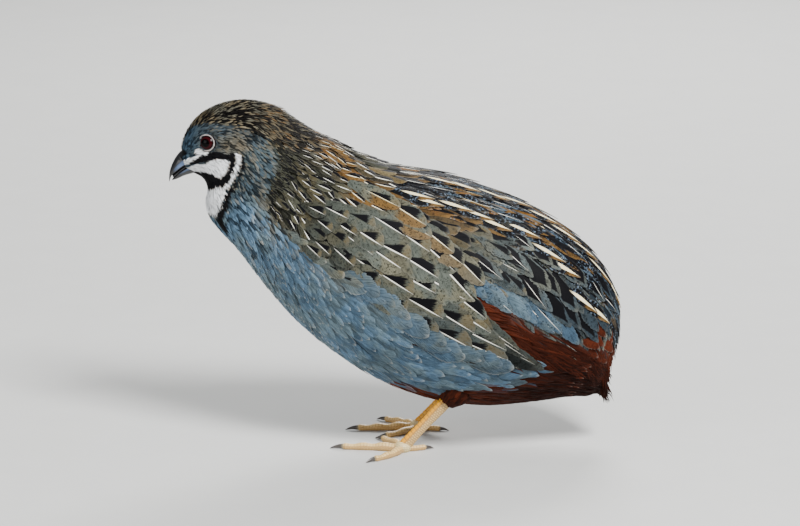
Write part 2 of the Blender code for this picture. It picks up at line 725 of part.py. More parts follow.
def finish(made, colour, parent):
    """Scales a mesh to metres, gives it its material and shades its round faces smooth."""
    material = bpy.data.materials.get(colour)
    if material is None:
        material = bpy.data.materials.new(colour)
        material.use_nodes = True
        shader = material.node_tree.nodes["Principled BSDF"]
        shader.inputs["Base Color"].default_value = (*COLOURS[colour], 1.0)
        shader.inputs["Roughness"].default_value = 0.15 if colour in ("eye", "bill") else 0.7
    for vertex in made.data.vertices:
        vertex.co *= MM
    made.data.materials.clear()
    made.data.materials.append(material)
    made.data.shade_smooth()
    made.data.set_sharp_from_angle(angle=math.radians(50))
    made.parent = parent


def colour_of(name):
    for part, colour in (
        ("head", "crown"),
        ("neck", "slate"),
        ("torso", "slate"),
        ("wing", "olive"),
        ("tail", "chestnut"),
        ("thigh", "chestnut"),
        ("bill", "bill"),
        ("eye", "eye"),
        ("claw", "claw"),
    ):
        if name.startswith(part):
            return colour
    return "leg"


def centre_on_floor(nodes, parent):
    """Moves the whole bird so that the middle of its footprint is the origin, on the floor."""
    corners = np.array([v.co for made in nodes for v in made.data.vertices])
    low, high = corners.min(0), corners.max(0)
    parent.location = (-(low[0] + high[0]) / 2, -(low[1] + high[1]) / 2, -low[2])


def main():
    for old in list(bpy.data.objects):
        bpy.data.objects.remove(old)
    smooth = swept_object("torso_blank", BODY, NECK_END, TORSO_END, TORSO_RINGS, BODY_SIDES, cuts=(True, True))
    neck = swept_object("neck", BODY, HEAD_END, NECK_END, NECK_RINGS, BODY_SIDES, cuts=(True, True))
    head, face = make_head()
    nodes = [head, *make_bill(face), *make_eyes(), neck]
    bpy.data.objects.remove(face)
    nodes += make_wings([lifted_copy(smooth, GAP, "torso_cutter"), lifted_copy(neck, GAP, "neck_cutter")])
    nodes.append(make_tail(lifted_copy(smooth, GAP, "torso_cutter")))
    nodes += make_leg("left", 0, lifted_copy(smooth, GAP, "torso_cutter"))
    for made in make_leg("right", 1, lifted_copy(smooth, GAP, "torso_cutter")):
        turn_over(made)
        nodes.append(made)
    bed = wing_core(GAP)
    nodes.append(fused("torso", [smooth], [bed, mirrored(bed, "bed_right")]))
    quail = bpy.data.objects.new("quail", None)
    bpy.context.scene.collection.objects.link(quail)
    for made in nodes:
        finish(made, colour_of(made.name), quail)
    centre_on_floor(nodes, quail)


main()
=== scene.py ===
"""The looks of a male king quail, a life-size museum model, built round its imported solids.

The bird faces -X, its left side faces -Y and +Z is up. Shapes are worked out in millimetres in the
frame of the bird's stations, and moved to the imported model's place in metres when a mesh is made.
"""

import math

import bpy
import numpy as np
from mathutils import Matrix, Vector


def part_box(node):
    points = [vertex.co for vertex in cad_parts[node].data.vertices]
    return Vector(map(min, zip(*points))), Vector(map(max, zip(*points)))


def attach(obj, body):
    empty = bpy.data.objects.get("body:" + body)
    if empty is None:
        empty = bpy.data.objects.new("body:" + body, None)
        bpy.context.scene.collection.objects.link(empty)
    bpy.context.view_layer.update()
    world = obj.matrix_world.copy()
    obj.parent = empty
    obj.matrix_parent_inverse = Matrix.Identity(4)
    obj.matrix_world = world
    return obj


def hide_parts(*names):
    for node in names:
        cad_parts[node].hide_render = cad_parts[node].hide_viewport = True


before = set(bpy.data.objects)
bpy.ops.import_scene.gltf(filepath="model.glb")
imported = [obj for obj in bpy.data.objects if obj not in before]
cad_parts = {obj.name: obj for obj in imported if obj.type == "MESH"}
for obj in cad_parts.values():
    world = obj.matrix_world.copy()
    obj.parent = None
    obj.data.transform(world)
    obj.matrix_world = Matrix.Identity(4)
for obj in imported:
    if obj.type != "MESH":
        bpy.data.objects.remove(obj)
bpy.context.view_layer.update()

bl_info = {
    "name": "King Quail Plumage",
    "version": (1, 0, 0),
    "blender": (4, 5, 0),
    "location": "3D View > Sidebar > Quail",
    "description": "Builds the skin, feathers, eyes, bill, legs and studio of a male king quail",
    "category": "Object",
}

MM = 0.001
FLOOR = 1.8
TURN = 2 * math.pi

# The body's outline from the side: top point, bottom point, half width, and the share of the depth
# at which the section is widest. Each point is (x, z), from the face to the end of the tail.
BODY_STATIONS = [
    ((-56.4, 78.6), (-56.4, 78.6), 0.0, 0.50),
    ((-56.0, 82.7), (-54.9, 76.2), 3.4, 0.50),
    ((-54.0, 87.3), (-52.6, 75.1), 5.0, 0.50),
    ((-50.5, 91.1), (-50.6, 73.9), 6.2, 0.49),
    ((-45.1, 93.7), (-49.5, 71.8), 7.0, 0.49),
    ((-39.0, 94.5), (-49.6, 69.7), 7.5, 0.49),
    ((-33.1, 93.4), (-50.0, 67.8), 8.0, 0.49),
    ((-27.8, 90.5), (-49.8, 65.3), 8.7, 0.50),
    ((-22.0, 86.9), (-48.5, 62.4), 9.9, 0.51),
    ((-15.9, 84.2), (-45.6, 58.9), 11.8, 0.52),
    ((-9.3, 80.7), (-41.1, 54.0), 14.4, 0.52),
    ((-1.9, 77.8), (-34.7, 45.4), 17.9, 0.52),
    ((6.1, 76.1), (-26.5, 35.9), 21.0, 0.52),
    ((15.9, 73.7), (-15.9, 26.7), 22.8, 0.51),
    ((26.5, 69.9), (-4.0, 19.2), 23.4, 0.50),
    ((36.3, 65.6), (9.3, 14.3), 22.8, 0.49),
    ((45.3, 59.7), (23.1, 12.4), 20.8, 0.48),
    ((52.7, 52.7), (35.8, 13.2), 17.6, 0.47),
    ((57.8, 44.3), (46.4, 14.6), 13.8, 0.46),
    ((59.6, 35.4), (53.0, 15.4), 9.0, 0.48),
    ((57.8, 23.5), (57.8, 23.5), 0.0, 0.50),
]
BILL_UPPER_STATIONS = [
    ((-51.5, 82.0), (-51.0, 78.9), 3.0, 0.80),
    ((-55.6, 81.4), (-54.2, 77.7), 2.7, 0.80),
    ((-57.4, 79.9), (-56.1, 76.5), 2.2, 0.78),
    ((-58.8, 77.4), (-57.7, 75.3), 1.5, 0.74),
    ((-59.5, 75.0), (-58.9, 74.3), 0.8, 0.66),
    ((-59.5, 72.8), (-59.5, 72.8), 0.0, 0.50),
]
BILL_LOWER_STATIONS = [
    ((-50.8, 78.5), (-50.6, 75.8), 2.7, 0.25),
    ((-54.0, 77.5), (-53.6, 75.0), 2.4, 0.25),
    ((-55.8, 76.4), (-55.6, 74.4), 1.9, 0.28),
    ((-57.4, 75.0), (-57.3, 73.6), 1.2, 0.32),
    ((-58.8, 73.3), (-58.8, 73.3), 0.0, 0.50),
]
# Stations of the mouth: x, z, half width, half height.
MOUTH = (
    (-50.9, 78.65, 2.50, 0.50), (-53.0, 78.00, 2.36, 0.48), (-55.0, 77.08, 2.05, 0.45),
    (-56.4, 76.10, 1.62, 0.42), (-57.2, 75.32, 1.22, 0.40), (-57.9, 74.68, 0.82, 0.40),
    (-58.5, 74.15, 0.50, 0.38),
)
MOUTH_RINGS, MOUTH_SIDES = 40, 32
NOSTRIL_AT = (-55.9, 79.3)
NOSTRIL_SLOPE = math.radians(50)

# The eyeball: its place in the side view, its radius, how far its middle lies under the plumage and
# how far forward it looks. The clear front bulges by a share of the radius.
EYE_AT = (-49.4, 84.5)
EYE_RADIUS = 2.4
EYE_SUNK = 1.75
EYE_FORWARD = math.radians(12)
EYE_BULGE = 0.035

# The ring of beads round the eye: its radius, its place along the line of sight, how much longer it
# is than tall, and how many beads it has.
LID_RADIUS = 2.07
LID_OUT = 1.57
LID_OVAL = 1.1
LID_BEADS = 52

# The legs: the left foot's place, the step back of the right one, and the ankle's rise and step back.
FOOT_AT = (2.1, -10.5)
RIGHT_FOOT_BACK = 4.0
ANKLE_RISE, ANKLE_BACK = 17.3, 13.0
# Up the line from foot to ankle, the share at which the thigh begins, and the share at which the
# scales end under its feathers. The shank's radii run from the thigh down to the foot.
SHANK_TOP = 0.74
SCALES_TOP = 0.9
SHANK_RADII = (1.7, 1.5, 1.45, 1.55, 1.75)
SHANK_FOOT = -0.02
# The thigh's radius at shares of its length, and the share that is bare of feathers.
THIGH_PROFILE = ((0.0, 1.9), (0.24, 2.3), (0.4, 3.2), (0.55, 4.0), (0.75, 4.5), (1.0, 3.0))
THIGH_BARE = 0.24
THIGH_LENGTH = 10.0
PAD_SIZE = (2.2, 2.0, 1.7)
PAD_HEIGHT = 1.25
# The plates down a shank and down a toe: their pitch and their height.
SHANK_PLATES = (1.25, 0.15)
TOE_PLATES = (0.85, 0.075)

# Each toe's way from straight ahead on the left foot and on the right, its length, its radius at the
# root and at the tip, its joints, and its claw's length.
TOES = (
    ("middle", (-8.0, -2.0), 16.0, 1.25, 0.82, 3, 3.4),
    ("outer", (52.0, 44.0), 12.0, 1.15, 0.76, 3, 2.8),
    ("inner", (-62.0, -42.0), 11.5, 1.1, 0.74, 2, 2.8),
    ("hallux", (196.0, 190.0), 6.2, 1.0, 0.68, 1, 2.2),
)

# How deep the skin lies under the feathers' outer surface, along the stations.
SKIN_DEPTH = ((0.0, 0.22), (4.0, 0.35), (7.0, 0.55), (10.0, 0.9), (17.3, 0.95), (20.0, 2.4))


def smooth_between(values, u):
    """Catmull-Rom through the rows of values, which hold one extra row at each end."""
    u = np.clip(np.asarray(u, float), 0.0, len(values) - 3.0)
    index = np.minimum(u.astype(int), len(values) - 4)
    t = (u - index)[:, None]
    a, b, c, d = (values[index + k] for k in range(4))
    return 0.5 * (2 * b + (c - a) * t + (2 * a - 5 * b + 4 * c - d) * t**2 + (3 * b - a - 3 * c + d) * t**3)


def unit(vectors):
    """The vectors at length 1."""
    return vectors / np.maximum(np.linalg.norm(vectors, axis=-1, keepdims=True), 1e-12)


def dot(a, b):
    """The dot products of two stacks of vectors, kept as a last axis of one."""
    return (a * b).sum(-1, keepdims=True)


def smooth_step(low, high, value):
    """0 at low and 1 at high, with a smooth rise between; low may be the higher one."""
    share = np.clip((np.asarray(value, float) - low) / (high - low), 0.0, 1.0)
    return share * share * (3 - 2 * share)


def read_off(line, at, column=1):
    """A column of a table, read between its rows at places in the first column."""
    rows = np.array(line)
    return np.interp(at, rows[:, 0], rows[:, column])


def pairs(first, second):
    """Every pair of two rows of numbers, as two long rows."""
    return (grid.ravel() for grid in np.meshgrid(first, second, indexing="ij"))


def round_turns(sides):
    """Even angles round a ring."""
    return TURN * np.arange(sides) / sides


def columns(count, *values):
    """Rows of one value from each column; a single number fills its column."""
    return np.column_stack([np.broadcast_to(value, count) for value in values])


class Sweep:
    """A body swept through stations. Its parameter u counts stations, and angle 0 is the top."""

    def __init__(self, stations):
        top = np.array([s[0] for s in stations])
        bottom = np.array([s[1] for s in stations])
        width = np.array([[s[2]] for s in stations])
        widest = np.array([[s[3]] for s in stations])
        self.last = len(stations) - 1.0
        self.top = self.padded(top, bottom, width)
        self.bottom = self.padded(bottom, top, width)
        self.width = self.padded(width, -width, width)
        self.widest = self.padded(widest, widest, width)

    @staticmethod
    def padded(rows, past_end, width):
        """Adds a row past each end. At a closed end it is the other side's, so that the end is round."""
        first = past_end[1] if width[0, 0] == 0 else 2 * rows[0] - rows[1]
        last = past_end[-2] if width[-1, 0] == 0 else 2 * rows[-1] - rows[-2]
        return np.vstack([first, rows, last])

    def section(self, u):
        """Middle, and the steps from it to the top, to the bottom and to the side, for each u."""
        top, bottom = smooth_between(self.top, u), smooth_between(self.bottom, u)
        middle = top + (bottom - top) * smooth_between(self.widest, u)
        return middle, top - middle, bottom - middle, smooth_between(self.width, u)[:, 0]

    def points(self, u, angle):
        """Points on the surface. An angle turns from the top towards -Y, the bird's left."""
        u, angle = np.broadcast_arrays(np.asarray(u, float), np.asarray(angle, float))
        middle, up, down, width = self.section(u.ravel())
        angle = angle.ravel()
        height = np.cos(angle)[:, None]
        side_view = middle + np.where(height > 0, up * height, -down * height)
        return np.column_stack([side_view[:, 0], -width * np.sin(angle), side_view[:, 1]])

    def slopes(self, u, angle):
        """The surface's steps for one station and for one radian."""
        step = 0.01
        along = (self.points(u + step, angle) - self.points(u - step, angle)) / (2 * step)
        round_it = (self.points(u, angle + step) - self.points(u, angle - step)) / (2 * step)
        return along, round_it

    def frame(self, u, angle):
        """Points, outward normals and backward directions along the surface."""
        u, angle = np.broadcast_arrays(np.asarray(u, float), np.asarray(angle, float))
        u = np.clip(u.ravel(), 0.02, self.last - 0.02)
        angle = angle.ravel()
        along, round_it = self.slopes(u, angle)
        return self.points(u, angle), unit(np.cross(round_it, along)), unit(along)

    def from_side(self, places):
        """The parameters (u, angle) of the left flank's points that are seen at each (x, z)."""
        u = np.linspace(0.05, self.last - 0.05, 1200)
        middle, up, down, _ = self.section(u)
        across = up - down
        found = []
        for point in np.atleast_2d(places):
            arm = point - (middle + down)
            cross = arm[:, 0] * across[:, 1] - arm[:, 1] * across[:, 0]
            turns = np.flatnonzero(np.sign(cross[1:]) != np.sign(cross[:-1]))
            share = (arm * across).sum(1) / (across**2).sum(1)
            if len(turns):
                k = turns[np.argmin(np.abs(share[turns] - 0.5))]
                part = cross[k] / (cross[k] - cross[k + 1])
            else:
                k, part = int(np.argmin(np.abs(cross))), 0.0
            here = u[k] + part * (u[min(k + 1, len(u) - 1)] - u[k])
            mid, to_top, to_bottom, _ = (a[0] for a in self.section(np.array([here])))
            arm = point - mid
            reach = to_top if arm @ to_top > 0 else to_bottom
            height = np.clip((arm @ reach) / (reach @ reach), 0.0, 0.985)
            found.append((here, math.acos(height if reach is to_top else -height)))
        return np.array(found).T


BODY = Sweep(BODY_STATIONS)
BILL_UPPER = Sweep(BILL_UPPER_STATIONS)
BILL_LOWER = Sweep(BILL_LOWER_STATIONS)


def frame_shift():
    """The step from the stations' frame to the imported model's, in metres, read from the bill's tip."""
    u = np.linspace(0.0, BILL_UPPER.last, 400)
    tip = BILL_UPPER.points(u, 0.0)[:, 0].min()
    return np.array([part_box("bill_upper")[0][0] - tip * MM, 0.0, -FLOOR * MM])


SHIFT = frame_shift()


def to_world(points):
    """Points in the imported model's metres, from the stations' millimetres."""
    return np.asarray(points, float) * MM + SHIFT


def tone(red, green, blue):
    """A colour in linear light, from its screen values of 0 to 255."""
    share = np.array([red, green, blue]) / 255.0
    return np.where(share <= 0.04045, share / 12.92, ((share + 0.055) / 1.055) ** 2.4)


CROWN_BLACK = tone(16, 14, 13)
CROWN_BUFF = tone(97, 95, 83)
FACE_SLATE = tone(58, 68, 75)
FOREHEAD_BLUE = tone(58, 78, 94)
EAR_GREY = tone(86, 86, 79)
NECK_SLATE = tone(61, 75, 83)
BREAST_BLUE = tone(75, 98, 117)
BELLY_BLUE = tone(71, 94, 114)
OLIVE = tone(70, 71, 59)
WING_GREY = tone(89, 95, 88)
WING_BLUE = tone(68, 82, 90)
REAR_BLUE = tone(44, 56, 66)
OCHRE = tone(100, 75, 40)
CREAM = tone(240, 224, 176)
SHAFT_WHITE = tone(236, 234, 222)
BACK_BLACK = tone(10, 10, 13)
STAIN = np.array([1.55, 1.12, 0.68])
BUFF = tone(108, 94, 64)
FLECK_BLUE = tone(110, 128, 146)
CHESTNUT = tone(82, 34, 17)
CHESTNUT_DARK = tone(24, 9, 5)
WHITE = tone(240, 242, 244)
BLACK = tone(12, 12, 14)
EYE_RING = tone(168, 160, 156)
IRIS_RED = tone(46, 6, 10)
IRIS_DARK = tone(24, 7, 7)
BILL_BLACK = tone(9, 9, 12)
BILL_BLUE = tone(92, 116, 156)
LEG_YELLOW = tone(230, 160, 22)
LEG_PALE = tone(226, 206, 152)
LEG_GROOVE = tone(150, 104, 50)
CLAW_GREY = tone(70, 64, 60)

# Face markings, as outlines in the side view, and as lines of (x, z, half width).
LORAL_WHITE = [
    (-57.0, 78.0), (-55.4, 79.2), (-54.2, 79.9), (-52.1, 80.8), (-50.6, 81.4),
    (-50.8, 80.5), (-52.1, 79.4), (-54.0, 78.4), (-56.2, 77.4),
]
UNDER_EYE_WHITE = [
    (-52.1, 82.8), (-50.9, 82.7), (-49.6, 82.0), (-48.0, 81.9),
    (-47.6, 81.4), (-48.3, 81.1), (-50.6, 81.0), (-52.4, 81.6),
]
LORE_BLACK = [(-58.0, 80.0), (-56.6, 82.0), (-54.4, 81.8), (-55.2, 80.5), (-56.6, 79.5)]
CHEEK_WHITE = [
    (-55.2, 76.9), (-54.1, 77.4), (-52.1, 78.3), (-49.7, 78.8), (-47.2, 80.0), (-45.4, 80.4), (-43.6, 80.1),
    (-43.3, 78.2), (-43.9, 76.3), (-45.1, 74.9), (-46.4, 75.4), (-47.9, 76.0), (-50.7, 76.3), (-53.2, 76.1),
]
CHIN_BLACK = [
    (-57.0, 77.0), (-53.5, 76.4), (-50.7, 76.5), (-47.9, 76.2), (-46.4, 75.6), (-45.0, 74.9),
    (-45.2, 73.3), (-46.5, 72.8), (-48.6, 71.2), (-53.0, 70.6), (-57.0, 74.0),
]
CRESCENT_WHITE = [
    (-41.8, 82.2), (-40.3, 81.7), (-40.4, 79.5), (-41.2, 77.1), (-42.7, 74.3), (-44.3, 72.0),
    (-44.9, 69.8), (-45.9, 67.5), (-47.5, 64.2), (-49.6, 64.6), (-54.0, 66.0), (-54.0, 70.6),
    (-48.6, 71.2), (-46.4, 72.8), (-44.6, 74.2), (-43.0, 76.1), (-41.9, 78.3), (-41.5, 80.1),
]
GAPE_LINE = [
    (-53.6, 78.4, 0.35), (-51.0, 79.8, 0.75), (-48.4, 80.8, 1.1), (-46.4, 81.2, 1.0), (-43.2, 80.9, 0.7),
]
CHEEK_LINE = [
    (-42.6, 81.4, 0.7), (-42.4, 79.4, 0.85), (-43.1, 77.3, 0.75), (-44.1, 75.1, 0.95), (-45.8, 73.5, 1.1),
]
BORDER_LINE = [
    (-39.9, 80.8, 0.4), (-39.7, 79.0, 0.5), (-40.2, 76.6, 0.45), (-41.5, 74.0, 0.55), (-43.4, 71.6, 0.8),
    (-44.2, 69.0, 0.8), (-45.0, 66.5, 0.85), (-46.2, 64.0, 1.0), (-45.4, 61.8, 0.7), (-44.0, 59.8, 0.5),
]


def inside(points, outline):
    """Which (x, z) points lie inside a closed outline."""
    x, z = points[:, 0], points[:, 1]
    odd = np.zeros(len(points), bool)
    for (x1, z1), (x2, z2) in zip(outline, outline[1:] + outline[:1]):
        crosses = (z1 > z) != (z2 > z)
        odd ^= crosses & (x < (x2 - x1) * (z - z1) / (z2 - z1 + 1e-12) + x1)
    return odd


def near_line(points, line):
    """How far within a line of (x, z, half width) each point lies: over 0 is on it."""
    best = np.full(len(points), -9.0)
    for (x1, z1, w1), (x2, z2, w2) in zip(line, line[1:]):
        start, step = np.array([x1, z1]), np.array([x2 - x1, z2 - z1])
        share = np.clip(((points - start) @ step) / (step @ step), 0.0, 1.0)
        gap = np.linalg.norm(points - start - share[:, None] * step, axis=1)
        best = np.maximum(best, w1 + (w2 - w1) * share - gap)
    return best


def head_angle(angle):
    """The angle down from the top, in degrees, alike on both sides."""
    turned = np.mod(angle, TURN)
    return np.degrees(np.minimum(turned, TURN - turned))


# Edges of the plumage's fields, as rows of station and degrees down from the top.
CROWN_EDGE = (
    (0.0, 0.0), (1.6, 10.0), (2.3, 23.0), (3.0, 40.0), (3.7, 49.0), (4.5, 57.0), (6.2, 60.0), (7.5, 52.0),
)
OLIVE_EDGE = (
    (6.6, 48.0), (7.1, 56.0), (7.6, 60.0), (8.1, 69.0), (8.4, 80.0), (8.8, 92.0), (9.4, 102.0), (10.2, 104.0),
    (11.4, 94.0), (12.2, 90.0), (13.0, 88.0), (14.0, 88.0), (16.0, 88.0), (20.0, 88.0),
)
BELLY_EDGE = (
    (12.6, 178.0), (13.9, 165.0), (14.8, 151.0), (15.4, 143.0), (15.9, 137.0), (16.5, 127.0), (16.9, 117.0),
    (17.1, 96.0), (17.5, 87.0), (18.1, 82.0), (18.8, 58.0), (20.0, 24.0),
)
WEDGE_TOP = ((14.3, 82.0), (14.8, 74.0), (15.4, 75.0), (16.2, 79.0), (17.2, 84.0))
WEDGE_FOOT, WEDGE_END = 113.0, 17.3
OCHRE_ROW = ((9.2, 18.0), (9.8, 27.0), (10.3, 36.0), (10.8, 44.0), (11.3, 45.0), (12.2, 43.0), (13.4, 40.0))
STREAK_ROWS = (
    ((12.0, 37.0), (13.0, 34.0), (14.2, 31.0), (14.9, 33.0), (15.6, 39.0), (16.4, 46.0), (17.3, 54.0)),
    ((12.6, 15.0), (14.0, 11.0), (15.2, 12.0), (16.2, 12.0), (17.0, 14.0), (17.8, 12.0)),
)


def rufous(u, down):
    """How far a place lies in the chestnut belly and vent, or in the wedge behind the wing."""
    belly = smooth_step(-4.0, 4.0, down - read_off(BELLY_EDGE, u)) * smooth_step(12.4, 13.2, u)
    wedge = smooth_step(-3.0, 3.0, down - read_off(WEDGE_TOP, u)) * smooth_step(14.2, 14.6, u)
    return np.maximum(belly, wedge * (down < WEDGE_FOOT) * (u < WEDGE_END))


def blend(first, second, share):
    """Colours between two colours, at a share for each row."""
    return first + (second - first) * np.clip(np.asarray(share, float), 0, 1)[..., None]


# The markings of the face in the order they are laid on, and the middle of the grey round the ear.
FACE_FIELDS = (
    (LORE_BLACK, BLACK),
    (CHIN_BLACK, BLACK),
    (UNDER_EYE_WHITE, WHITE),
    (LORAL_WHITE, WHITE),
    (CHEEK_WHITE, WHITE),
    (CRESCENT_WHITE, WHITE),
)
FACE_LINES = (GAPE_LINE, CHEEK_LINE, BORDER_LINE)
FACE_END = 11.0
EAR_AT = (-42.0, 84.0)


def coat_colours(u, angle, points, rng):
    """The plumage's plain colour at each place, with the face's markings, for the skin and the coat."""
    count = len(u)
    down = head_angle(angle)
    side = points[:, [0, 2]]
    ragged = side + rng.normal(0.0, 0.09, (count, 2))
    speckle = rng.random(count)
    shade = rng.random(count)

    colour = blend(FACE_SLATE, FOREHEAD_BLUE, smooth_step(4.0, 1.5, u))
    from_ear = np.hypot((side[:, 0] - EAR_AT[0]) / 1.2, side[:, 1] - EAR_AT[1])
    colour = blend(colour, EAR_GREY, smooth_step(4.0, 1.5, from_ear))
    colour = blend(colour, NECK_SLATE, smooth_step(5.8, 7.2, u))
    low = smooth_step(96.0, 110.0, down)
    # Low on the front of the neck and breast the blue is painted lighter: painted light where the light falls
    # on the breast's front.
    breast = BREAST_BLUE * (1 + 0.32 * low * smooth_step(11.6, 9.2, u))[:, None]
    colour = blend(colour, breast, smooth_step(8.2 - 0.8 * low, 9.6 - 0.8 * low, u))
    colour = blend(colour, BELLY_BLUE, smooth_step(11.5, 14.0, u))
    flecked = (u > 0.8) & (u < 10.4)
    pale = (speckle > 0.72) & flecked & (u > 3.4) & ((u < 7.8) | (down < 104))
    colour[pale] = colour[pale] * 0.4 + EAR_GREY * 0.7
    spread = 0.22 + 0.16 * smooth_step(6.0, 9.0, u)
    colour *= (1 - spread + 2 * spread * shade)[:, None]
    # A few pale flecks low on the neck and breast are painted highlights: glints on glossy feathers.
    painted_glints = (speckle > 0.92) & (u > 6.5) & (u < 11.0) & (down > 110)
    colour[painted_glints] = colour[painted_glints] * 0.7 + SHAFT_WHITE * 0.14
    beige = smooth_step(24.0, 4.0, down - read_off(OLIVE_EDGE, u)) * smooth_step(8.0, 9.5, u)
    beige = beige * (speckle < 0.6)
    colour = blend(colour, EAR_GREY * 0.9, 0.7 * beige)

    olive = smooth_step(-7.0, 5.0, read_off(OLIVE_EDGE, u) - down) * smooth_step(6.4, 7.4, u)
    colour = blend(colour, OLIVE * (0.75 + 0.4 * shade - 0.28 * smooth_step(10.4, 8.8, u))[:, None], olive)
    colour[(speckle < 0.33 - 0.17 * smooth_step(7.6, 9.0, u) * (1 - olive)) & flecked] *= 0.25
    crown = smooth_step(-3.0, 3.0, read_off(CROWN_EDGE, u) - down + 5 * (speckle - 0.5))
    crown = crown * smooth_step(8.6, 7.4, u)
    streak = np.where((shade < 0.36)[:, None], CROWN_BUFF, CROWN_BLACK)
    colour = blend(colour, streak * (0.7 + 0.5 * speckle)[:, None], crown)
    nape = smooth_step(56.0, 40.0, down) * smooth_step(5.2, 6.4, u) * smooth_step(11.0, 9.4, u)
    brown = CROWN_BLACK * (0.8 + 2.0 * shade)[:, None]
    brown = np.where((speckle > 0.88)[:, None], OCHRE * 0.5 + CROWN_BUFF * 0.4, brown)
    brown = np.where((speckle < 0.30)[:, None], CROWN_BUFF * 0.65, brown)
    colour = blend(colour, brown, nape * 0.9)

    ochre = np.exp(-(((down - read_off(OCHRE_ROW, u)) / 10.0) ** 2)) * smooth_step(8.4, 9.4, u)
    ochre = ochre * smooth_step(14.2, 13.2, u)
    colour = blend(colour, OCHRE * (0.62 + 0.4 * shade)[:, None], ochre * 1.3)
    spine = smooth_step(40.0, 26.0, down - 14 * smooth_step(13.5, 16.0, u)) * smooth_step(10.4, 11.6, u)
    slate = REAR_BLUE * (0.5 + 1.5 * shade)[:, None]
    slate = blend(slate, BUFF * (0.5 + 0.7 * shade)[:, None], smooth_step(12.9, 11.9, u))
    back = np.where((speckle < 0.55)[:, None], BACK_BLACK * 1.5, slate)
    rusty = OCHRE * (0.8 - 0.5 * smooth_step(16.2, 17.4, u))[:, None]
    back = np.where((speckle > 0.88)[:, None], rusty, back)
    colour = blend(colour, back, spine)
    rear = smooth_step(13.6, 14.8, u) * smooth_step(36.0, 46.0, down) * smooth_step(104.0, 92.0, down)
    colour = blend(colour, blend(REAR_BLUE, WING_GREY, shade * 0.7), rear)

    chestnut = rufous(u, down + 6 * (shade - 0.5))
    warm = blend(CHESTNUT_DARK, CHESTNUT, 0.25 + 0.75 * shade)
    # The chestnut is darker low on the rear and towards the vent: partly a deeper chestnut, partly painted
    # shade under the body.
    deep_and_shaded = smooth_step(15.2, 17.4, u) * smooth_step(96.0, 110.0, down)
    deep_and_shaded = np.maximum(deep_and_shaded, 0.6 * smooth_step(14.8, 16.4, u) * smooth_step(72.0, 84.0, down))
    colour = blend(colour, warm * (1 - 0.72 * deep_and_shaded)[:, None], chestnut)

    on_head = u < FACE_END
    for outline, fill in FACE_FIELDS:
        colour[inside(ragged, outline) & on_head] = fill
    for line in FACE_LINES:
        colour[(near_line(ragged, line) > 0) & on_head] = BLACK
    return np.clip(colour, 0.0, 1.0)


class Feathers:
    """Many feathers with the same number of stations: their middle lines, frames and half widths."""

    def __init__(self, centres, normals, ahead, root):
        self.centres = centres
        self.ahead = unit(ahead)
        self.normals = unit(normals - self.ahead * dot(normals, self.ahead))
        self.root = root
        self.on_left = np.where(np.sin(root[1]) >= 0, 1.0, -1.0)

    def rolled(self, roll):
        """Turns each feather about its own line by an angle."""
        side = np.cross(self.normals, self.ahead)
        turn = roll[:, None, None]
        self.normals = self.normals * np.cos(turn) + side * np.sin(turn)
        return self

    def mirrored(self):
        """The same feathers on the bird's other side."""
        flip = np.array([1.0, -1.0, 1.0])
        root = np.array([self.root[0], TURN - self.root[1]])
        return Feathers(self.centres * flip, self.normals * flip, self.ahead * flip, root)


# A traced feather's steps, and the stations past which it lies no more on the body but hangs free.
TRACE_STEPS = 16
FREE_FROM = BODY.last - 1.1
HANG = np.array([-0.02, 0.0, -0.14])


def trace(u, angle, length, yaw, shares, root_lift, tip_lift):
    """Feathers that follow the body back from (u, angle), turned downwards by yaw."""
    steps = TRACE_STEPS
    here_u, here_angle = u.copy(), angle.copy()
    point, normal, along = BODY.frame(here_u, here_angle)
    side_sign = np.where(np.sin(angle) >= 0, 1.0, -1.0)[:, None]
    free = np.zeros(len(u), bool)
    heading = along.copy()
    stride = (length / steps)[:, None]
    rows = []
    for k in range(steps + 1):
        lift = root_lift + (tip_lift - root_lift) * (k / steps) ** 0.75
        rows.append((point + normal * lift[:, None], normal, heading))
        here_u = np.clip(here_u, 0.03, BODY.last - 0.5)
        _, out, along = BODY.frame(here_u, here_angle)
        down = np.cross(along, out) * side_sign
        free |= here_u > FREE_FROM
        on_skin = ~free[:, None]
        heading = np.where(on_skin, along * np.cos(yaw)[:, None] + down * np.sin(yaw)[:, None], heading)
        heading = np.where(on_skin, heading, unit(0.88 * heading + HANG))
        if k == 0:
            rows[0] = (rows[0][0], normal, heading)
        pu, pa = BODY.slopes(here_u, here_angle)
        move = heading * stride
        uu, ua, aa = dot(pu, pu), dot(pu, pa), dot(pa, pa)
        mu, ma = dot(move, pu), dot(move, pa)
        det = np.maximum(uu * aa - ua * ua, 1e-6)
        step_u = ((mu * aa - ma * ua) / det)[:, 0]
        step_angle = ((ma * uu - mu * ua) / det)[:, 0]
        here_u = here_u + np.where(free, 0.0, np.clip(step_u, -0.4, 0.4))
        here_angle = here_angle + np.where(free, 0.0, np.clip(step_angle, -0.2, 0.2))
        moved, new_out, _ = BODY.frame(here_u, here_angle)
        point = np.where(on_skin, moved, point + move)
        normal = np.where(on_skin, new_out, unit(normal - heading * dot(normal, heading)))
    place_in_rows = np.array(shares) * steps
    low = np.minimum(place_in_rows.astype(int), steps - 1)
    part = (place_in_rows - low)[None, :, None]
    found = []
    for column in range(3):
        values = np.stack([row[column] for row in rows], axis=1)
        found.append(values[:, low] * (1 - part) + values[:, low + 1] * part)
    return Feathers(*found, np.array([u, np.mod(angle, TURN)]))


